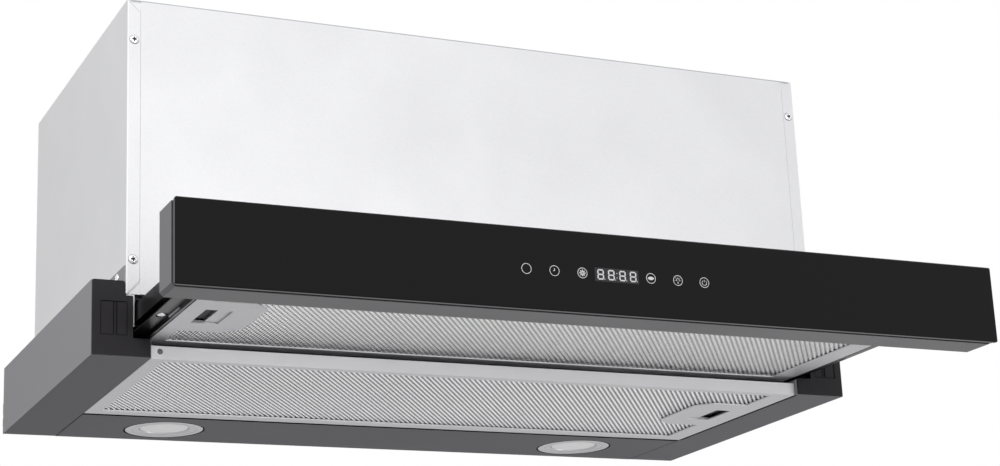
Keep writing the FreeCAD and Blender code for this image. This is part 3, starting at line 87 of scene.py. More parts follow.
camera_data = bpy.data.cameras.new("photo_camera")
camera_data.sensor_width = 36
camera_data.lens = LENS_PER_SENSOR * camera_data.sensor_width
camera = bpy.data.objects.new("photo_camera", camera_data)
camera.matrix_world = Matrix.Translation(CAMERA_PLACE) @ aim(CAMERA_YAW, CAMERA_PITCH, CAMERA_ROLL).to_4x4()
bpy.context.scene.collection.objects.link(camera)
bpy.context.scene.camera = camera
print("lens", round(camera_data.lens, 1), "mm")

# %% [markdown]
# ## Light
# A product photograph is lit by large white sheets. Here four square soft lamps take their place: at
# the front left and above, at the left side, low in front, and a small one low at the right. The
# white world fills the rest, so metal has something pale to reflect. The background is white only to
# the camera, in reflections and through glass: what falls on the object itself is a good deal dimmer.

# %% World
FILL_LIGHT = 0.36
scene = bpy.context.scene
scene.view_settings.view_transform = "Standard"
world = bpy.data.worlds.new("studio")
scene.world = world
world.use_nodes = True


def light_path_mask(tree, names):
    """The largest of the named Light Path outputs: 1 for a ray of any of these kinds, else 0."""
    path = tree.nodes.new("ShaderNodeLightPath")
    mask = path.outputs[names[0]]
    for name in names[1:]:
        larger = tree.nodes.new("ShaderNodeMath")
        larger.operation = "MAXIMUM"
        tree.links.new(mask, larger.inputs[0])
        tree.links.new(path.outputs[name], larger.inputs[1])
        mask = larger.outputs[0]
    return mask


sky = world.node_tree.nodes["Background"]
brightness = world.node_tree.nodes.new("ShaderNodeMapRange")
brightness.inputs["To Min"].default_value = FILL_LIGHT
brightness.inputs["To Max"].default_value = 1.0
WHITE_TO = ("Is Camera Ray", "Is Glossy Ray", "Is Transmission Ray")
world.node_tree.links.new(light_path_mask(world.node_tree, WHITE_TO), brightness.inputs["Value"])
sky.inputs["Color"].default_value = (1, 1, 1, 1)
world.node_tree.links.new(brightness.outputs["Result"], sky.inputs["Strength"])


# %% Lamps
def soft_lamp(name, place, target, size, power):
    """A square area lamp of that size in metres at place, facing target."""
    data = bpy.data.lights.new(name, "AREA")
    data.size = size
    data.energy = power
    lamp = bpy.data.objects.new(name, data)
    lamp.location = place
    lamp.rotation_euler = (Vector(target) - Vector(place)).to_track_quat("-Z", "Y").to_euler()
    scene.collection.objects.link(lamp)
    return lamp


# Name, place, target, size in metres and power in watts.
soft_lamp("key_sheet", (-0.85, -1.35, 0.75), (-0.15, -0.25, 0.15), 0.8, 11)
soft_lamp("side_sheet", (-2.2, -0.1, 0.4), (-0.3, -0.2, 0.1), 1.2, 5.5)
soft_lamp("low_sheet", (0.2, -2.2, -0.12), (0.1, -0.3, 0.03), 0.8, 11)
soft_lamp("right_sheet", (1.1, -0.8, -0.5), (0.3, -0.2, 0), 0.5, 2.2)


# %% [markdown]
# ## Making surfaces
# Every new piece below is a grid of points worked out as whole numpy arrays and joined into faces by
# one helper. A round piece is a profile turned about an axis; a flat mark is a stroke of constant
# width along a path.

# %% Mesh helpers
def grid_faces(rows, columns, close_rows=False, close_columns=False, start=0):
    """Corner numbers of the faces of a grid. Face (i, j) joins the points (i, j), (i, j+1),
    (i+1, j+1) and (i+1, j), counted round the ends where the grid closes on itself."""
    i = np.arange(rows if close_rows else rows - 1)
    j = np.arange(columns if close_columns else columns - 1)
    i, j = np.meshgrid(i, j, indexing="ij")
    below = (i + 1) % rows
    after = (j + 1) % columns
    row, next_row = i * columns, below * columns
    corners = np.stack([row + j, row + after, next_row + after, next_row + j], -1)
    return corners.reshape(-1, 4) + start


def new_piece(name, points, faces, material, smooth=True):
    """A mesh object from an (n, 3) array of points in metres and an (m, 4) array of corners."""
    mesh = bpy.data.meshes.new(name)
    mesh.vertices.add(len(points))
    mesh.vertices.foreach_set("co", np.asarray(points, np.float32).ravel())
    mesh.loops.add(faces.size)
    mesh.loops.foreach_set("vertex_index", faces.astype(np.int32).ravel())
    mesh.polygons.add(len(faces))
    mesh.polygons.foreach_set("loop_start", np.arange(0, faces.size, faces.shape[1], dtype=np.int32))
    mesh.polygons.foreach_set("use_smooth", np.full(len(faces), smooth))
    mesh.update(calc_edges=True)
    mesh.validate()
    mesh.materials.append(material)
    piece = bpy.data.objects.new(name, mesh)
    scene.collection.objects.link(piece)
    return piece


def turned(profile, centre, axis, count=96):
    """Points and faces of a profile of (radius, height) pairs in mm turned about an axis. A point
    is centre + radius * (cos a * u + sin a * v) + height * axis, for count angles a round the
    circle, with u and v across the axis. Heights that rise outwards face outwards."""
    axis = np.array(axis, float)
    across = np.array((0.0, 0.0, 1.0)) if abs(axis[2]) < 0.5 else np.array((1.0, 0.0, 0.0))
    other = np.cross(axis, across)
    angle = np.linspace(0, 2 * np.pi, count, endpoint=False)
    ring = np.cos(angle)[:, None] * across + np.sin(angle)[:, None] * other
    radius, height = np.array(profile, float).T
    points = np.array(centre) + radius[:, None, None] * ring[None] + height[:, None, None] * axis
    return points.reshape(-1, 3) * MM, grid_faces(len(profile), count, close_columns=True)


def joined(parts):
    """One array of points and one of faces from several pairs, the corner numbers shifted."""
    shift = np.cumsum([0] + [len(points) for points, _ in parts[:-1]])
    return (np.concatenate([points for points, _ in parts]),
            np.concatenate([faces + start for (_, faces), start in zip(parts, shift)]))


# %% [markdown]
# ## Finishes
# Painted sheet, zinc and plastic differ less in colour than in what breaks it up: a fine grain that
# tilts the surface, slow blotches in the gloss, and faint lines from rolling. Each effect is one
# node group with its own numbers in each material. The shader stays in the material.

# %% Node helpers
def srgb(code):
    """Linear colour of a six-digit code: each channel c becomes ((c + 0.055) / 1.055) ** 2.4."""
    channels = np.array([int(code[i:i + 2], 16) for i in (0, 2, 4)]) / 255
    linear = np.where(channels > 0.04045, ((channels + 0.055) / 1.055) ** 2.4, channels / 12.92)
    return (*linear.tolist(), 1.0)


def new_group(name, inputs, outputs):
    """An empty shader node group with float inputs {name: default}, a Vector input, and outputs."""
    group = bpy.data.node_groups.new(name, "ShaderNodeTree")
    group.interface.new_socket("Vector", in_out="INPUT", socket_type="NodeSocketVector")
    for key, value in inputs.items():
        socket = group.interface.new_socket(key, in_out="INPUT", socket_type="NodeSocketFloat")
        socket.default_value = value
    for key in outputs:
        group.interface.new_socket(key, in_out="OUTPUT", socket_type="NodeSocketFloat")
    return group, group.nodes.new("NodeGroupInput"), group.nodes.new("NodeGroupOutput")


def math_node(tree, operation, *values):
    """The output of a Math node whose inputs are numbers or sockets."""
    node = tree.nodes.new("ShaderNodeMath")
    node.operation = operation
    for index, value in enumerate(values):
        if isinstance(value, (int, float)):
            node.inputs[index].default_value = value
        else:
            tree.links.new(value, node.inputs[index])
    return node.outputs[0]


def noise(tree, vector, scale, detail=2.0):
    """The Fac output of a Noise Texture at that scale, which is a number or a socket."""
    node = tree.nodes.new("ShaderNodeTexNoise")
    node.inputs["Detail"].default_value = detail
    tree.links.new(vector, node.inputs["Vector"])
    if isinstance(scale, (int, float)):
        node.inputs["Scale"].default_value = scale
    else:
        tree.links.new(scale, node.inputs["Scale"])
    return node.outputs["Fac"]


# %% Grain and blotches
def make_grain_group():
    """Grain is a fine noise, Blotch a slow one. Shade is 1 + Strength * (grain + blotch - 1)."""
    group, entry, leave = new_group("surface_grain", {"Grain Scale": 900, "Blotch Scale": 9, "Strength": 0.1},
                                    ("Shade", "Grain", "Blotch"))
    place = entry.outputs["Vector"]
    fine = noise(group, place, entry.outputs["Grain Scale"], 3)
    slow = noise(group, place, entry.outputs["Blotch Scale"], 2)
    change = math_node(group, "SUBTRACT", math_node(group, "ADD", fine, slow), 1.0)
    scaled = math_node(group, "MULTIPLY", change, entry.outputs["Strength"])
    group.links.new(math_node(group, "ADD", 1.0, scaled), leave.inputs["Shade"])
    group.links.new(fine, leave.inputs["Grain"])
    group.links.new(slow, leave.inputs["Blotch"])
    return group


GRAIN = make_grain_group()


# %% Rolled or brushed lines
def make_line_group():
    """A noise squeezed across the lines: the coordinates are multiplied by Along on the axis of the
    lines, X, and by Across on the other two."""
    group, entry, leave = new_group("rolled_lines", {"Along": 6, "Across": 700}, ("Line",))
    split = group.nodes.new("ShaderNodeSeparateXYZ")
    join = group.nodes.new("ShaderNodeCombineXYZ")
    group.links.new(entry.outputs["Vector"], split.inputs[0])
    for axis, factor in (("X", "Along"), ("Y", "Across"), ("Z", "Across")):
        squeezed = math_node(group, "MULTIPLY", split.outputs[axis], entry.outputs[factor])
        group.links.new(squeezed, join.inputs[axis])
    group.links.new(noise(group, join.outputs[0], 1.0, 2), leave.inputs["Line"])
    return group


LINES = make_line_group()


# %% [markdown]
# ## One function for the plain finishes
# Nearly all finishes here are a base colour, a metal or not, a roughness, and the two effects above
# with different strengths. So one function builds them, and the numbers that make zinc look like
# zinc and paint like paint are its arguments.

# %% Finish maker
def new_material(name):
    """A material with its Principled shader and its Object coordinates."""
    material = bpy.data.materials.new(name)
    material.use_nodes = True
    tree = material.node_tree
    place = tree.nodes.new("ShaderNodeTexCoord").outputs["Object"]
    return material, tree, tree.nodes["Principled BSDF"], place


def effect(tree, group, place, **values):
    """A node of that group at those coordinates, with values for its inputs."""
    node = tree.nodes.new("ShaderNodeGroup")
    node.node_tree = group
    tree.links.new(place, node.inputs["Vector"])
    for key, value in values.items():
        node.inputs[key.replace("_", " ").title()].default_value = value
    return node


def shaded_colour(tree, colour, shade):
    """The colour multiplied by a value that changes over the surface."""
    mix = tree.nodes.new("ShaderNodeMix")
    mix.data_type = "RGBA"
    mix.blend_type = "MULTIPLY"
    mix.inputs["Factor"].default_value = 1
    mix.inputs["A"].default_value = colour
    tree.links.new(shade, mix.inputs["B"])
    return mix.outputs["Result"]


def bumped(tree, height, strength, distance):
    """The Normal output of a Bump node."""
    bump = tree.nodes.new("ShaderNodeBump")
    bump.inputs["Strength"].default_value = strength
    bump.inputs["Distance"].default_value = distance
    tree.links.new(height, bump.inputs["Height"])
    return bump.outputs["Normal"]


def finish(name, code, metallic=0.0, roughness=0.4, grain_scale=900, blotch_scale=9, strength=0.1,
           bump=0.15, lines=0.0, spread=0.12, specular=0.5):
    """A finish whose colour is code times the grain's shade, and whose roughness is roughness plus
    spread times (blotch - 0.5). With lines, rolled lines join the grain in the bump."""
    material, tree, shader, place = new_material(name)
    grain = effect(tree, GRAIN, place, grain_scale=grain_scale, blotch_scale=blotch_scale, strength=strength)
    tree.links.new(shaded_colour(tree, srgb(code), grain.outputs["Shade"]), shader.inputs["Base Color"])
    offset = math_node(tree, "MULTIPLY", math_node(tree, "SUBTRACT", grain.outputs["Blotch"], 0.5), spread)
    tree.links.new(math_node(tree, "ADD", offset, roughness), shader.inputs["Roughness"])
    shader.inputs["Metallic"].default_value = metallic
    shader.inputs["Specular IOR Level"].default_value = specular
    height = grain.outputs["Grain"]
    if lines:
        drawn = effect(tree, LINES, place)
        height = math_node(tree, "ADD", height, math_node(tree, "MULTIPLY", drawn.outputs["Line"], lines))
    tree.links.new(bumped(tree, height, bump, 0.0002), shader.inputs["Normal"])
    return material


# %% Finishes
# Name, colour, metallic, roughness, grain scale, blotch scale, grain strength and bump.
zinc_sheet = finish("galvanised_sheet", "E8E8EA", 0.25, 0.45, 1100, 14, 0.12, 0.14)
graphite_paint = finish("body_paint", "A3A2A7", 0.0, 0.5, 2200, 7, 0.06, 0.06, specular=0.05)
black_plastic = finish("black_plastic", "272528", 0.0, 0.5, 1800, 10, 0.10, 0.18, specular=0.2)
black_steel = finish("black_steel", "141415", 0.0, 0.3, 900, 12, 0.12, 0.08, specular=0.3)
trim_metal = finish("trim_aluminium", "535257", 0.2, 0.36, 1500, 8, 0.06, 0.06, lines=0.8, specular=0.3)
filter_metal = finish("filter_aluminium", "EEEDF0", 0.4, 0.40, 1200, 10, 0.07, 0.08)
bezel_metal = finish("bezel_steel", "D0CFD3", 0.6, 0.34, 1500, 12, 0.06, 0.05)
cast_metal = finish("lamp_housing", "A8A8AA", 0.7, 0.5, 500, 10, 0.12, 0.3)
fan_plastic = finish("fan_plastic", "3A3A3C", 0.0, 0.5, 900, 8, 0.1, 0.15)
damper_plastic = finish("damper_plastic", "434346", 0.0, 0.46, 900, 12, 0.1, 0.12)
bright_zinc = finish("zinc_steel", "E2E2E6", 0.9, 0.24, 700, 30, 0.10, 0.04)
motor_metal = finish("motor_steel", "B4B4B8", 0.9, 0.34, 900, 10, 0.1, 0.06, lines=0.6)
shaft_metal = finish("shaft_steel", "CFCFD3", 1.0, 0.2, 1200, 20, 0.05, 0.03, lines=0.4)
board_green = finish("circuit_board", "2B5A38", 0.0, 0.35, 300, 40, 0.25, 0.1)
white_plastic = finish("white_plastic", "DEDDD8", 0.0, 0.45, 900, 8, 0.05, 0.1)
print("finishes:", len(bpy.data.materials))

# %% [markdown]
# ## Pressed mesh
# The filters are layers of slit and stretched aluminium. Stretching opens each slit into a
# lozenge 4.2 mm across and 6 mm long, and tilts the strands, so one family of strands catches the
# light as slanting ribs while the other only crosses them. An image of mesh would look flat at this
# slant. So the ribs are real corrugations, and the crossing strands and the holes are in the
# material, worked out from the same two phases. The material also paints shade: it darkens the
# colour in the grooves between the ribs and in the holes.

# %% Mesh material
LOZENGE_ACROSS = 4.2 * MM
LOZENGE_LONG = 6.0 * MM
HOLE_BEGINS = 0.30
HOLE_IS_FULL = 0.75
HOLE_DARKENING = 0.9


def make_mesh_group():
    """With a = x / Across and b = y / Long, the two families of strands are cos 2 pi (a - b) and
    cos 2 pi (a + b). Strand is the height of the crossing family, and Hole is 1 where both are low."""
    group, entry, leave = new_group("slit_mesh", {"Across": LOZENGE_ACROSS, "Long": LOZENGE_LONG},
                                    ("Strand", "Hole", "Rib"))
    split = group.nodes.new("ShaderNodeSeparateXYZ")
    group.links.new(entry.outputs["Vector"], split.inputs[0])
    a = math_node(group, "DIVIDE", split.outputs["X"], entry.outputs["Across"])
    b = math_node(group, "DIVIDE", split.outputs["Y"], entry.outputs["Long"])
    waves = []
    for operation in ("SUBTRACT", "ADD"):
        turn = math_node(group, "MULTIPLY", math_node(group, operation, a, b), 2 * math.pi)
        waves.append(math_node(group, "COSINE", turn))
    rib, strand = waves
    low = math_node(group, "MULTIPLY", math_node(group, "ADD", rib, strand), -0.5)
    hole = group.nodes.new("ShaderNodeMapRange")
    hole.interpolation_type = "SMOOTHSTEP"
    hole.inputs["From Min"].default_value = HOLE_BEGINS
    hole.inputs["From Max"].default_value = HOLE_IS_FULL
    group.links.new(low, hole.inputs["Value"])
    group.links.new(strand, leave.inputs["Strand"])
    group.links.new(rib, leave.inputs["Rib"])
    group.links.new(hole.outputs["Result"], leave.inputs["Hole"])
    return group


MESH = make_mesh_group()


def make_mesh_material(name, code, groove_shade):
    """Bright aluminium with painted shade. Its colour falls to the given share in the grooves between
    the ribs, and the holes take HOLE_DARKENING of what is left, as painted shade in the openings."""
    material, tree, shader, place = new_material(name)
    weave = effect(tree, MESH, place)
    grain = effect(tree, GRAIN, place, grain_scale=700, blotch_scale=12, strength=0.12)
    # Painted shade in the grooves between the ribs.
    groove = tree.nodes.new("ShaderNodeMapRange")
    groove.inputs["From Min"].default_value = -0.8
    groove.inputs["From Max"].default_value = 0.3
    groove.inputs["To Min"].default_value = groove_shade
    tree.links.new(weave.outputs["Rib"], groove.inputs["Value"])
    # Painted shade in the holes.
    taken = math_node(tree, "MULTIPLY", weave.outputs["Hole"], HOLE_DARKENING)
    open_part = math_node(tree, "SUBTRACT", 1.0, taken)
    strand_light = math_node(tree, "MULTIPLY", groove.outputs["Result"], open_part)
    light = math_node(tree, "MULTIPLY", strand_light, grain.outputs["Shade"])
    tree.links.new(shaded_colour(tree, srgb(code), light), shader.inputs["Base Color"])
    shader.inputs["Metallic"].default_value = 0.95
    shader.inputs["Roughness"].default_value = 0.2
    tree.links.new(bumped(tree, weave.outputs["Strand"], 0.5, 0.0004), shader.inputs["Normal"])
    return material


# The two filters' meshes are the same aluminium in two copies. The fixed filter's copy is painted darker,
# with deeper painted shade in its grooves. The drawer's copy is painted brighter, as painted light where more
# light falls on it.
shaded_mesh_metal = make_mesh_material("mesh_aluminium", "F8F7FA", 0.2)
lit_mesh_metal = make_mesh_material("mesh_aluminium_lit", "FFFFFF", 0.72)

# %% Mesh geometry
RIB_SAMPLES = 8
RIB_DEPTH = 0.8
RIB_LEAN = 0.35
ROWS_ALONG = 19
SHEET_INSET = 0.05
EDGE_ROOM = 0.4
LATCH_ROOM = (6, 1)
PAST_THE_EDGE = 300


def rib_sheet(x_low, x_high, y_low, y_high, level, towards, cutout):
    """A corrugated sheet. The grid runs across the ribs, 8 points to each, and along them: a point
    is (s + across/long * (y - y_low), y), with s along the front edge, held inside the window's
    sides. Its height is level + towards * depth * (rib - 1) / 2, with rib = cos 2 pi (x/across -
    y/long) leaning to one side. Faces of no width and faces inside the cut-out are dropped."""
    across, long = LOZENGE_ACROSS / MM, LOZENGE_LONG / MM
    slope = across / long
    count = int((x_high - x_low + slope * (y_high - y_low)) / across * RIB_SAMPLES)
    start = np.linspace(x_low - slope * (y_high - y_low), x_high, count)
    y = np.linspace(y_low, y_high, ROWS_ALONG)
    s, y = np.meshgrid(start, y)
    x = np.clip(s + slope * (y - y_low), x_low, x_high)
    phase = 2 * np.pi * (x / across - y / long)
    rib = np.cos(phase - RIB_LEAN * np.sin(phase))
    z = level + towards * RIB_DEPTH * (rib - 1) / 2
    points = np.stack([x, y, z], -1).reshape(-1, 3)
    faces = grid_faces(*x.shape)
    if towards < 0:
        faces = faces[:, ::-1]
    corner_x = points[faces, 0]
    middle = points[faces].mean(1)
    (cut_x0, cut_x1), (cut_y0, cut_y1) = cutout
    x_inside = (middle[:, 0] > cut_x0) & (middle[:, 0] < cut_x1)
    inside = x_inside & (middle[:, 1] > cut_y0) & (middle[:, 1] < cut_y1)
    kept = (np.ptp(corner_x, axis=1) > 1e-6) & ~inside
    return points * MM, faces[kept]


def mesh_pack(name, body, replaced, metal):
    """The mesh of one filter: a ribbed sheet at the bottom and one at the top, inside the CAD box.
    Both leave room for the latch, and are cut away from it to the edge that it stands at."""
    low, high = (np.array(corner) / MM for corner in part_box(replaced))
    latch_low, latch_high = (np.array(corner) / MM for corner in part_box(name + "_latch"))
    room_x, room_y = LATCH_ROOM
    if latch_high[0] < 0:
        side = (-PAST_THE_EDGE, latch_high[0] + room_x)
    else:
        side = (latch_low[0] - room_x, PAST_THE_EDGE)
    cutout = (side, (latch_low[1] - room_y, latch_high[1] + room_y))
    window = (low[0] + EDGE_ROOM, high[0] - EDGE_ROOM, low[1] + EDGE_ROOM, high[1] - EDGE_ROOM)
    bottom = rib_sheet(*window, low[2] + SHEET_INSET, -1, cutout)
    top = rib_sheet(*window, high[2] - SHEET_INSET, 1, cutout)
    points, faces = joined([bottom, top])
    piece = new_piece(name + "_ribs", points, faces, metal)
    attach(piece, body)
    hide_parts(replaced)
    print(piece.name, "triangles:", 2 * len(faces))
    return piece


mesh_pack("fixed_filter", "fixed_filter", "fixed_filter_mesh", shaded_mesh_metal)
mesh_pack("drawer_filter", "drawer", "drawer_filter_mesh", lit_mesh_metal)

# %% [markdown]
# ## The glass front
# It is a 4 mm sheet of black-backed glass. Its ground and polished edges are what tell the eye that
# it is glass: a narrow bevel all round that picks up a bright line. A rounded rectangle shrunk a
# little at the front and back gives that bevel with a handful of faces.

# %% Glass material
def make_glass_material():
    """Black glass under a clear coat, with slow smudges that only change the gloss."""
    material, tree, shader, place = new_material("black_glass")
    smudge = effect(tree, GRAIN, place, grain_scale=60, blotch_scale=6, strength=0.05)
    tree.links.new(shaded_colour(tree, srgb("131314"), smudge.outputs["Shade"]), shader.inputs["Base Color"])
    tree.links.new(math_node(tree, "MULTIPLY", smudge.outputs["Blotch"], 0.16), shader.inputs["Roughness"])
    shader.inputs["IOR"].default_value = 1.5
    shader.inputs["Specular IOR Level"].default_value = 0.13
    return material


black_glass = make_glass_material()


# %% Glass shape
def rounded_outline(half_x, half_z, radius, steps=8):
    """Points round a rectangle with rounded corners: each corner's centre plus radius times
    (cos a, sin a), for a over its quarter of the circle."""
    quarter = np.linspace(0, np.pi / 2, steps)
    angles = np.concatenate([quarter + turn * np.pi / 2 for turn in range(4)])
    signs = np.repeat(np.array(((1, 1), (-1, 1), (-1, -1), (1, -1))), steps, axis=0)
    centres = signs * (half_x - radius, half_z - radius)
    return centres + radius * np.stack([np.cos(angles), np.sin(angles)], -1)


def slab(low, high, bevel, radius):
    """A flat plate facing -Y with a bevel at both faces: rings of the outline at four depths, drawn
    in by the bevel at the first and last, and closed by a point in the middle of each face."""
    centre = (low + high) / 2
    half = (high - low) / 2
    depths = (low[1], low[1] + bevel, high[1] - bevel, high[1])
    rings = [(depth, rounded_outline(half[0] - shrink, half[2] - shrink, radius))
             for depth, shrink in zip(depths, (bevel, 0, 0, bevel))]
    rings = [(depths[0], rings[0][1] * 0)] + rings + [(depths[3], rings[3][1] * 0)]
    points = [np.stack([ring[:, 0] + centre[0], np.full(len(ring), depth), ring[:, 1] + centre[2]], -1)
              for depth, ring in rings]
    count = len(points[0])
    return np.concatenate(points) * MM, grid_faces(len(rings), count, close_columns=True)


def weld_and_face_out(piece):
    """Merges points that lie on each other and turns all faces outwards."""
    shape = bmesh.new()
    shape.from_mesh(piece.data)
    bmesh.ops.remove_doubles(shape, verts=shape.verts, dist=1e-6)
    bmesh.ops.dissolve_degenerate(shape, edges=shape.edges, dist=1e-7)
    bmesh.ops.recalc_face_normals(shape, faces=shape.faces)
    shape.to_mesh(piece.data)
    shape.free()
    return piece


GLASS_SET_BACK = 0.1
GLASS_BEVEL = 0.7
GLASS_CORNER = 1.2
glass_low, glass_high = (np.array(corner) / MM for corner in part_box("front_glass"))
points, faces = slab(glass_low + (0, GLASS_SET_BACK, 0), glass_high, GLASS_BEVEL, GLASS_CORNER)
glass = weld_and_face_out(new_piece("glass_sheet", points, faces, black_glass, smooth=False))
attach(glass, "drawer")
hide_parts("front_glass")
print("glass", np.round(glass_high - glass_low, 1))

# %% [markdown]
# ## Touch marks
# The controls are thin pale lines printed behind the glass: rings with a simple sign in each and a
# clock of four digits. They are strokes: a path with a width. Each is laid a few hundredths of
# a millimetre before the glass, so that it never fights with it for the same place.

# %% Strokes
MARK_LEVEL = glass_low[1] + 0.04
MARK_HEIGHT = 23.8
LINE_WIDTH = 0.4
DOT_SIZE = 0.6
BAR_WIDTH = 0.9


def stroke(path, width=LINE_WIDTH, closed=False):
    """A ribbon along a path of points in a plane: each is moved half the width both ways along the
    normal of the path there, which is its direction turned by 90 degrees."""
    path = np.array(path, float)
    if closed:
        ahead, behind = np.roll(path, -1, 0), np.roll(path, 1, 0)
    else:
        ahead, behind = np.vstack([path[1:], path[-1:]]), np.vstack([path[:1], path[:-1]])
    direction = ahead - behind
    direction /= np.linalg.norm(direction, axis=1)[:, None]
    normal = np.stack([-direction[:, 1], direction[:, 0]], -1) * width / 2
    edges = np.stack([path - normal, path + normal])
    return edges.reshape(-1, 2), grid_faces(2, len(path), close_columns=closed)


def arc(centre, radius, start=0.0, end=360.0, count=40):
    """Points centre + radius * (cos a, sin a) for a from start to end, in degrees."""
    angle = np.radians(np.linspace(start, end, count, endpoint=abs(end - start) < 360))
    return np.array(centre) + radius * np.stack([np.cos(angle), np.sin(angle)], -1)


def upright(flat, level):
    """Flat points (a, b) stood up in the plane y = level, in metres."""
    return np.stack([flat[:, 0], np.full(len(flat), level), flat[:, 1]], -1) * MM


def lying(flat, level):
    """Flat points (a, b) laid in the plane z = level, in metres."""
    return np.stack([flat[:, 0], flat[:, 1], np.full(len(flat), level)], -1) * MM


def spoke(centre, near, far, angle, width):
    """A ribbon from radius near to radius far at that angle in degrees."""
    return stroke([arc(centre, r, angle, angle, 1)[0] for r in (near, far)], width)


def dot(x, z):
    """A square point."""
    return stroke([(x, z - DOT_SIZE / 2), (x, z + DOT_SIZE / 2)], DOT_SIZE)


def ring(x, radius=3.35):
    """The circle round a sign."""
    return stroke(arc((x, MARK_HEIGHT), radius), closed=True)


# %% The signs
def fan_sign(x):
    """Eight short blades: ribbons from near the middle out to 2.2 mm."""
    return [spoke((x, MARK_HEIGHT), 0.3, 2.2, turn, 0.8) for turn in range(0, 360, 45)]


def leaf_sign(x):
    """Two arcs that meet in points: heights 1.2 (1 - t ** 2) above and below, filled between."""
    t = np.linspace(-0.97, 0.97, 24)
    path = np.stack([x + 2.5 * t, np.full(24, MARK_HEIGHT)], -1)
    flat, faces = stroke(path, 1.0)
    half = np.concatenate([1.2 * (1 - t ** 2)] * 2)
    flat[:, 1] = MARK_HEIGHT + np.sign(flat[:, 1] - MARK_HEIGHT) * half
    return [(flat, faces)]


def bulb_sign(x):
    """A bulb with its cap, and five short rays."""
    middle = (x, MARK_HEIGHT + 0.3)
    rays = [spoke(middle, 1.8, 2.4, turn, 0.3) for turn in (-10, 40, 90, 140, 190)]
    cap = [stroke([(x - 0.5, MARK_HEIGHT - drop), (x + 0.5, MARK_HEIGHT - drop)], 0.3)
           for drop in (1.4, 1.9)]
    return [stroke(arc(middle, 1.05, -60, 240), 0.35), *rays, *cap]


def power_sign(x):
    """A broken circle with a bar in its gap."""
    circle = stroke(arc((x, MARK_HEIGHT - 0.1), 1.75, 130, 410), 0.34)
    return [circle, stroke([(x, MARK_HEIGHT + 0.4), (x, MARK_HEIGHT + 2.0)], 0.36)]


def clock_sign(x):
    """Two hands."""
    return [stroke([(x, MARK_HEIGHT + 1.5), (x, MARK_HEIGHT - 0.2)], 0.5),
            stroke([(x - 1.1, MARK_HEIGHT), (x, MARK_HEIGHT)], 0.4)]


# %% The clock digits
def digit(x, width=3.9, height=6.1):
    """All seven segments of a digit: three level bars and four upright ones, with small gaps,
    and its point."""
    left, right = x - width / 2, x + width / 2
    levels = [MARK_HEIGHT + height * part for part in (-0.5, 0, 0.5)]
    bars = [stroke([(left + 0.2, z), (right - 0.2, z)], BAR_WIDTH) for z in levels]
    posts = [stroke([(side, a + 0.3), (side, b - 0.3)], BAR_WIDTH)
             for side in (left, right) for a, b in zip(levels[:-1], levels[1:])]
    return bars + posts + [dot(right + 0.9, levels[0])]


marks = []
for place_x, signs in ((-67.7, []), (-47.8, clock_sign(-47.8)), (-27.7, fan_sign(-27.7)),
                       (22.5, leaf_sign(22.5)), (42.7, bulb_sign(42.7)), (62.7, power_sign(62.7))):
    marks += [ring(place_x), *signs]
for digit_x in (-14.5, -6.7, 1.5, 9.3):
    marks += digit(digit_x)
COLON_X = -2.6
marks += [dot(COLON_X, MARK_HEIGHT + rise) for rise in (-1.5, 1.5)]


def flat_piece(name, strokes, place, level, material, body):
    """One mesh of many ribbons in one plane; place is upright or lying."""
    flat, faces = joined(strokes)
    piece = new_piece(name, place(flat, level), faces, material, smooth=False)
    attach(piece, body)
    return piece


pale_mark = finish("printed_mark", "D9D9DA", 0.0, 0.4, 600, 20, 0.04, 0.02, specular=0.2)
smoked_window = finish("smoked_window", "3A383B", 0.0, 0.3, 600, 20, 0.04, 0.02, specular=0.1)
flat_piece("touch_marks", marks, upright, MARK_LEVEL, pale_mark, "drawer")
window = [stroke([(-18.7, MARK_HEIGHT - 0.1), (13.4, MARK_HEIGHT - 0.1)], 9.2)]
flat_piece("clock_window", window, upright, MARK_LEVEL + 0.02, smoked_window, "drawer")
print("strokes:", len(marks))

# %% [markdown]
# ## Lamps
# Each lamp is a satin ring pressed into the panel, with a step in it and a frosted glass in its
# middle. Turned parts are drawn as half a section. The ring's section starts at the outer rim, dips
# into the thin groove where its two steps meet, and ends beside the glass.

# %% Lamp shapes
BEZEL_PROFILE = ((29.6, 3.0), (30.9, 0.9), (30.8, 0.35), (30.3, 0.06), (29.6, 0.0), (25.9, 0.02),
                 (25.5, 0.18), (25.35, 0.75), (25.05, 0.75), (24.95, 0.28), (24.5, 0.12), (21.4, 0.22),
                 (20.3, 0.55), (19.9, 1.1), (19.7, 3.0))
LENS_PROFILE = ((19.2, 3.0), (18.9, 1.75), (18.5, 1.35), (17.6, 1.18), (12.0, 1.08), (6.0, 1.05),
                (0.001, 1.04))


def make_lens_material():
    """Frosted glass, modelled as a pale, slightly glowing sheet with cloudy variation."""
    material, tree, shader, place = new_material("frosted_lens")
    cloud = effect(tree, GRAIN, place, grain_scale=1500, blotch_scale=25, strength=0.05)
    tree.links.new(shaded_colour(tree, srgb("DCDCDE"), cloud.outputs["Shade"]), shader.inputs["Base Color"])
    shader.inputs["Roughness"].default_value = 0.4
    shader.inputs["Emission Color"].default_value = (1, 1, 1, 1)
    shader.inputs["Emission Strength"].default_value = 0.3
    return material


lens_frost = make_lens_material()
for side in ("left", "right"):
    low, high = (np.array(corner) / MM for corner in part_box("lamp_bezel_" + side))
    middle = ((low + high) / 2 * (1, 1, 0)) + (0, 0, low[2])
    for kind, profile, material, slot in (("bezel", BEZEL_PROFILE, bezel_metal, "bezel_steel"),
                                          ("lens", LENS_PROFILE, lens_frost, "frosted_lens")):
        points, faces = turned(profile, middle, (0, 0, 1), 128)
        piece = weld_and_face_out(new_piece(f"lamp_{kind}_turned_{side}", points, faces, material))
        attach(piece, "housing")
        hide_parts(f"lamp_{kind}_{side}")
print("lamp middle", np.round(middle, 1))
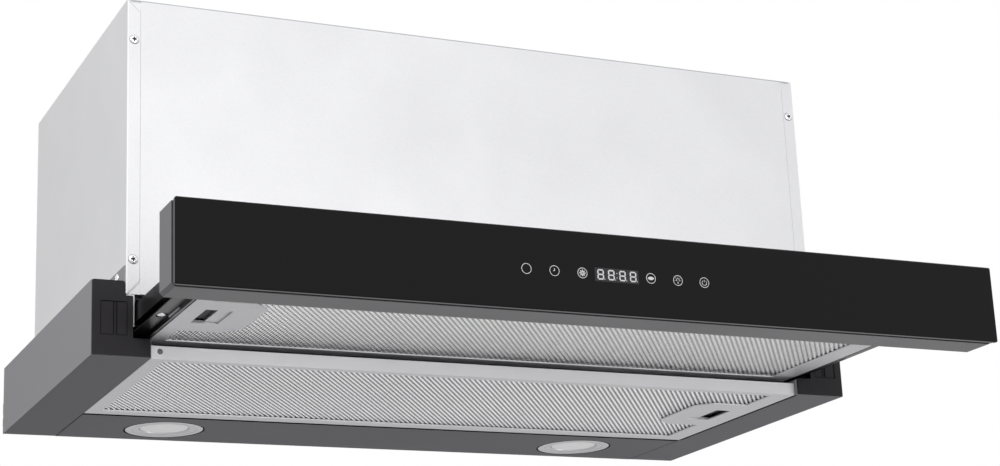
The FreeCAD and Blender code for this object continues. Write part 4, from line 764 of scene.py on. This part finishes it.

# %% [markdown]
# ## Screws
# Ten bright pan-head screws hold the casing. A head is a low dome with a cross sunk into it. One
# function of angle and radius gives both: the dome's height, less a cut whose depth falls off
# smoothly from the two arms of the cross. The four in front also get a dark dot and a dark rim, which
# are flat marks of painted shade: in the cross and round the head.

# %% Screw shape
HEAD_RADIUS = 3.25
HEAD_HEIGHT = 1.4
HEAD_TOP = 1.32
CROSS_DEPTH = 0.9
CROSS_HALF_WIDTH = 0.38
CROSS_REACH = 1.8


def screw_head(centre, axis):
    """Height is H * sqrt(1 - (0.93 r/R) ** 2), flattened at HEAD_TOP, less a cross with soft sides:
    CROSS_DEPTH where the distance to an arm is under its half width and the radius within reach."""
    radius = np.linspace(0.02, 1, 17) * HEAD_RADIUS
    angle = np.linspace(0, 2 * np.pi, 64, endpoint=False)
    r, a = np.meshgrid(radius, angle, indexing="ij")
    u, v = r * np.cos(a), r * np.sin(a)
    dome = HEAD_HEIGHT * np.sqrt(np.clip(1 - (0.93 * r / HEAD_RADIUS) ** 2, 0, 1))
    arm = np.minimum(np.abs(u), np.abs(v))
    cut = CROSS_DEPTH / (1 + np.exp((arm - CROSS_HALF_WIDTH) * 12)) / (1 + np.exp((r - CROSS_REACH) * 8))
    height = np.minimum(dome, HEAD_TOP) - cut
    axis = np.array(axis, float)
    up = np.array((0.0, 0.0, 1.0))
    across = np.cross(up, axis)
    points = np.array(centre) + u[..., None] * across + v[..., None] * up + height[..., None] * axis
    rim = np.array(centre) + u[-1, :, None] * across + v[-1, :, None] * up
    points = np.concatenate([points.reshape(-1, 3), rim])
    return points * MM, grid_faces(len(radius) + 1, len(angle), close_columns=True)


FRONT_X, FRONT_Y, FRONT_HEIGHTS = 270.5, -280.4, (68.4, 230.0)
SIDE_X, SIDE_DEPTHS, SIDE_HEIGHT = 276.3, (-261.0, -140.5, -45.5), 59.25
front_screws = [((side * FRONT_X, FRONT_Y, z), (0, -1, 0)) for side in (-1, 1) for z in FRONT_HEIGHTS]
side_screws = [((side * SIDE_X, y, SIDE_HEIGHT), (side, 0, 0)) for side in (-1, 1) for y in SIDE_DEPTHS]
points, faces = joined([screw_head(*place) for place in front_screws + side_screws])
screws = weld_and_face_out(new_piece("pan_screws", points, faces, bright_zinc))
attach(screws, "housing")
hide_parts("casing_screws")
# Painted shade: a dark dot in the middle of each front head's cross and a dark rim round the head.
recess_shade = finish("recess_shade", "3A3A3C", 0.3, 0.6, 900, 10, 0.1, 0.05, specular=0.1)
DOT_RADIUS = 0.55
RIM_WIDTH = 0.3
centres = [(place[0], place[2]) for place, axis in front_screws]
dots = [stroke(arc(centre, DOT_RADIUS, count=20), 2 * DOT_RADIUS, closed=True) for centre in centres]
rims = [stroke(arc(centre, HEAD_RADIUS + 0.1), RIM_WIDTH, closed=True) for centre in centres]
for name, strokes, level in (("screw_dots", dots, FRONT_Y - HEAD_HEIGHT - 0.02),
                             ("screw_rims", rims, FRONT_Y - 0.05)):
    flat_piece(name, strokes, upright, level, recess_shade, "housing")
print("screws:", len(front_screws + side_screws))

# %% [markdown]
# ## Seams, grooves and small metal
# Where two sheets meet there is a dark line: light goes into the gap and doesn't come back. The CAD
# sheets meet flush, so each line is painted shade, a dull black ribbon laid just under the body: along
# the lamp panel's front and sides, round each lamp and beside the fixed filter. A slanting view makes a
# level ribbon narrow, so the front one is 4 mm wide. The end caps' fields get thin black outlines of
# painted shade in their grooves. The casing's top fold and mitres get grey lines of painted shade, and
# its side fold a white line of painted highlight. The latch pockets get floors painted grey as the shade
# in them. All of these are flat. A rivet and a stud are turned.

# %% Seams
# Painted shade: the dull black of the dark lines in the gaps and the grooves.
gap_and_groove_shade = finish("gap_and_groove_shade", "0E0E0F", 0.0, 0.9, 900, 10, 0.1, 0.05, specular=0.0)
panel_low, panel_high = (np.array(corner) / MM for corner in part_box("lamp_panel"))
filter_low, filter_high = (np.array(corner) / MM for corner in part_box("fixed_filter_frame"))
SEAM_LEVEL = -0.08
FRONT_SEAM_WIDTH, SIDE_SEAM_WIDTH, FILTER_SEAM_WIDTH, LAMP_SEAM_WIDTH = 4.0, 0.6, 2.2, 1.0
LAMP_X, LAMP_Y, LAMP_SEAM_RADIUS = 180.7, -42.0, 31.3
front_y = panel_low[1] + 2.1
beside_filter = filter_high[0] + 1.4
seams = [stroke([(panel_low[0], front_y), (panel_high[0], front_y)], FRONT_SEAM_WIDTH)]
for edge in (panel_low[0], panel_high[0]):
    seams.append(stroke([(edge, panel_low[1] - 0.6), (edge, panel_high[1] - 1)], SIDE_SEAM_WIDTH))
filter_path = [(beside_filter, filter_low[1] + 0.5), (beside_filter, panel_low[1])]
seams.append(stroke(filter_path, FILTER_SEAM_WIDTH))
for side in (-1, 1):
    circle = arc((side * LAMP_X, LAMP_Y), LAMP_SEAM_RADIUS, count=96)
    seams.append(stroke(circle, LAMP_SEAM_WIDTH, closed=True))
# Painted shade in the gaps where the sheets meet.
flat_piece("seam_shade_lines", seams, lying, SEAM_LEVEL, gap_and_groove_shade, "housing")

# %% Fold lines
# Painted shade along the top fold and the mitres, and a painted highlight down the side fold.
fold_and_mitre_shade = finish("fold_and_mitre_shade", "B9BABE", 0.25, 0.4, 900, 10, 0.1, 0.05)
fold_highlight = finish("fold_highlight", "FBFBFC", 0.25, 0.3, 900, 10, 0.05, 0.05)
casing_low, casing_high = (np.array(corner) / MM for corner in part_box("casing_front"))
flange_low = np.array(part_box("casing_side_left")[0]) / MM
left, foot, head = flange_low[0], flange_low[2], casing_high[2]
TOP_FOLD_WIDTH, SIDE_FOLD_WIDTH, MITRE_WIDTH = 0.8, 0.9, 0.3
top_fold = [stroke([(casing_low[0], head - 0.45), (casing_high[0], head - 0.45)], TOP_FOLD_WIDTH)]
side_fold = [stroke([(left + 0.6, foot + 1), (left + 0.6, head - 1)], SIDE_FOLD_WIDTH)]
mitre_shades = [stroke([(left + 0.6, head - 0.8), (left + 9.5, head - 9.0)], MITRE_WIDTH),
          stroke([(left + 1.5, foot + 1.5), (left + 10.5, foot + 11.0)], MITRE_WIDTH)]
for name, strokes, level, metal in (("top_fold", top_fold, casing_low[1] - 0.02, fold_and_mitre_shade),
                                    ("side_fold", side_fold, flange_low[1] - 0.02, fold_highlight),
                                    ("mitre_lines", mitre_shades, flange_low[1] - 0.03, fold_and_mitre_shade)):
    flat_piece(name, strokes, upright, level, metal, "housing")

# %% Cap grooves
cap_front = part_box("end_cap_left")[0][1] / MM
FIELD_FOOT = 14.4
FIELD_HEAD = 37.8
FIELDS = ((274.6, 281.7), (283.9, 292.8))
GROOVE_WIDTH = 0.35
grooves = []
for side in (-1, 1):
    for near, far in FIELDS:
        outline = [(side * near, FIELD_FOOT), (side * far, FIELD_FOOT), (side * far, FIELD_HEAD),
                   (side * near, FIELD_HEAD)]
        grooves += [stroke([outline[i - 1], outline[i]], GROOVE_WIDTH) for i in range(4)]
# The outlines are painted shade in the grooves round the fields.
flat_piece("cap_groove_shade", grooves, upright, cap_front - 0.03, gap_and_groove_shade, "housing")

# %% Latch pockets
POCKET_IN = 20.25
POCKET_HALF = 6
POCKET_WIDTH = 40
POCKET_ABOVE = 1.4
# Each pocket gets a flat floor, painted grey as the shade in the pocket.
pocket_floor_shade = finish("pocket_floor_shade", "8C8A8C", 0.0, 0.6, 900, 10, 0.1, 0.05, specular=0.1)
for latch, body, end in (("fixed_filter_latch", "fixed_filter", "low"),
                         ("drawer_filter_latch", "drawer", "high")):
    latch_low, latch_high = (np.array(corner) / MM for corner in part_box(latch))
    y = (latch_low[1] + latch_high[1]) / 2
    x = latch_low[0] + POCKET_IN if end == "low" else latch_high[0] - POCKET_IN
    strip = [stroke([(x - POCKET_HALF, y), (x + POCKET_HALF, y)], POCKET_WIDTH)]
    level = latch_high[2] + POCKET_ABOVE
    flat_piece(latch + "_pocket", strip, lying, level, pocket_floor_shade, body)

# %% Rivet and stud
RIVET_PROFILE = ((2.1, -0.8), (2.1, 0.05), (1.8, 0.4), (1.0, 0.58), (0.001, 0.6))
STUD_PROFILE = ((3.1, -1.0), (3.1, 0.2), (2.7, 0.65), (1.2, 0.8), (0.001, 0.82))
RIVET_IN = 10.1
RIVET_HEIGHT = 5.35
RIVET_PLACE = (filter_low[0] + RIVET_IN, filter_low[1] + 0.4, RIVET_HEIGHT)
STUD_PLACE = (-264.8, -331.0, 17.0)
rivet_metal = finish("rivet_metal", "77777B", 0.3, 0.45, 900, 10, 0.1, 0.05)
for name, profile, place, axis, body, metal in (
        ("lip_rivet", RIVET_PROFILE, RIVET_PLACE, (0, -1, 0), "fixed_filter", rivet_metal),
        ("slide_stud", STUD_PROFILE, STUD_PLACE, (0, 0, -1), "drawer", bright_zinc)):
    points, faces = turned(profile, place, axis, 48)
    small = weld_and_face_out(new_piece(name, points, faces, metal))
    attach(small, body)
print("seams:", len(seams), "grooves:", len(grooves))

# %% [markdown]
# ## Finishes for the CAD pieces
# The pieces that nothing above replaces keep their CAD shape. Each gets the finish of its slot in
# the record.

# %% Assign
SLOT_FINISHES = {
    "galvanised_sheet": zinc_sheet, "body_paint": graphite_paint, "black_plastic": black_plastic,
    "black_steel": black_steel, "trim_aluminium": trim_metal, "black_glass": black_glass,
    "filter_aluminium": filter_metal, "mesh_aluminium": shaded_mesh_metal, "bezel_steel": bezel_metal,
    "frosted_lens": lens_frost, "lamp_housing": cast_metal, "fan_plastic": fan_plastic,
    "damper_plastic": damper_plastic, "zinc_steel": bright_zinc, "motor_steel": motor_metal,
    "shaft_steel": shaft_metal, "circuit_board": board_green, "white_plastic": white_plastic,
}
slot_of = {part["node"]: part["material_slot"] for part in frame["record"]["subparts"]}
for name, node in nodes.items():
    node.data.materials.clear()
    node.data.materials.append(SLOT_FINISHES[slot_of[name]])
print("CAD nodes finished:", len(slot_of))

# %% [markdown]
# ## Floor
# The hood hangs, so the floor is well below it. Its own colour is dark, so little light comes back
# up from it. What makes it pale is a glow that only the camera and reflections see.

# %% Floor
FLOOR_LEVEL = -0.8
FLOOR_HALF = 7.0
FLOOR_SHADE = 0.14
FLOOR_GLOW = 0.72
floor_material, floor_tree, floor_shader, floor_place = new_material("pale_floor")
floor_grain = effect(floor_tree, GRAIN, floor_place, grain_scale=30, blotch_scale=1.5, strength=0.02)
floor_colour = shaded_colour(floor_tree, (FLOOR_SHADE,) * 3 + (1,), floor_grain.outputs["Shade"])
floor_tree.links.new(floor_colour, floor_shader.inputs["Base Color"])
floor_shader.inputs["Roughness"].default_value = 0.9
floor_shader.inputs["Emission Color"].default_value = (1, 1, 1, 1)
seen = light_path_mask(floor_tree, ("Is Camera Ray", "Is Glossy Ray"))
glow = math_node(floor_tree, "MULTIPLY", seen, FLOOR_GLOW)
floor_tree.links.new(glow, floor_shader.inputs["Emission Strength"])
corners = np.array([(-1, -1), (1, -1), (1, 1), (-1, 1)]) * FLOOR_HALF
points = np.column_stack([corners, np.full(4, FLOOR_LEVEL)])
floor = new_piece("floor", points, np.array([[0, 1, 2, 3]]), floor_material, smooth=False)
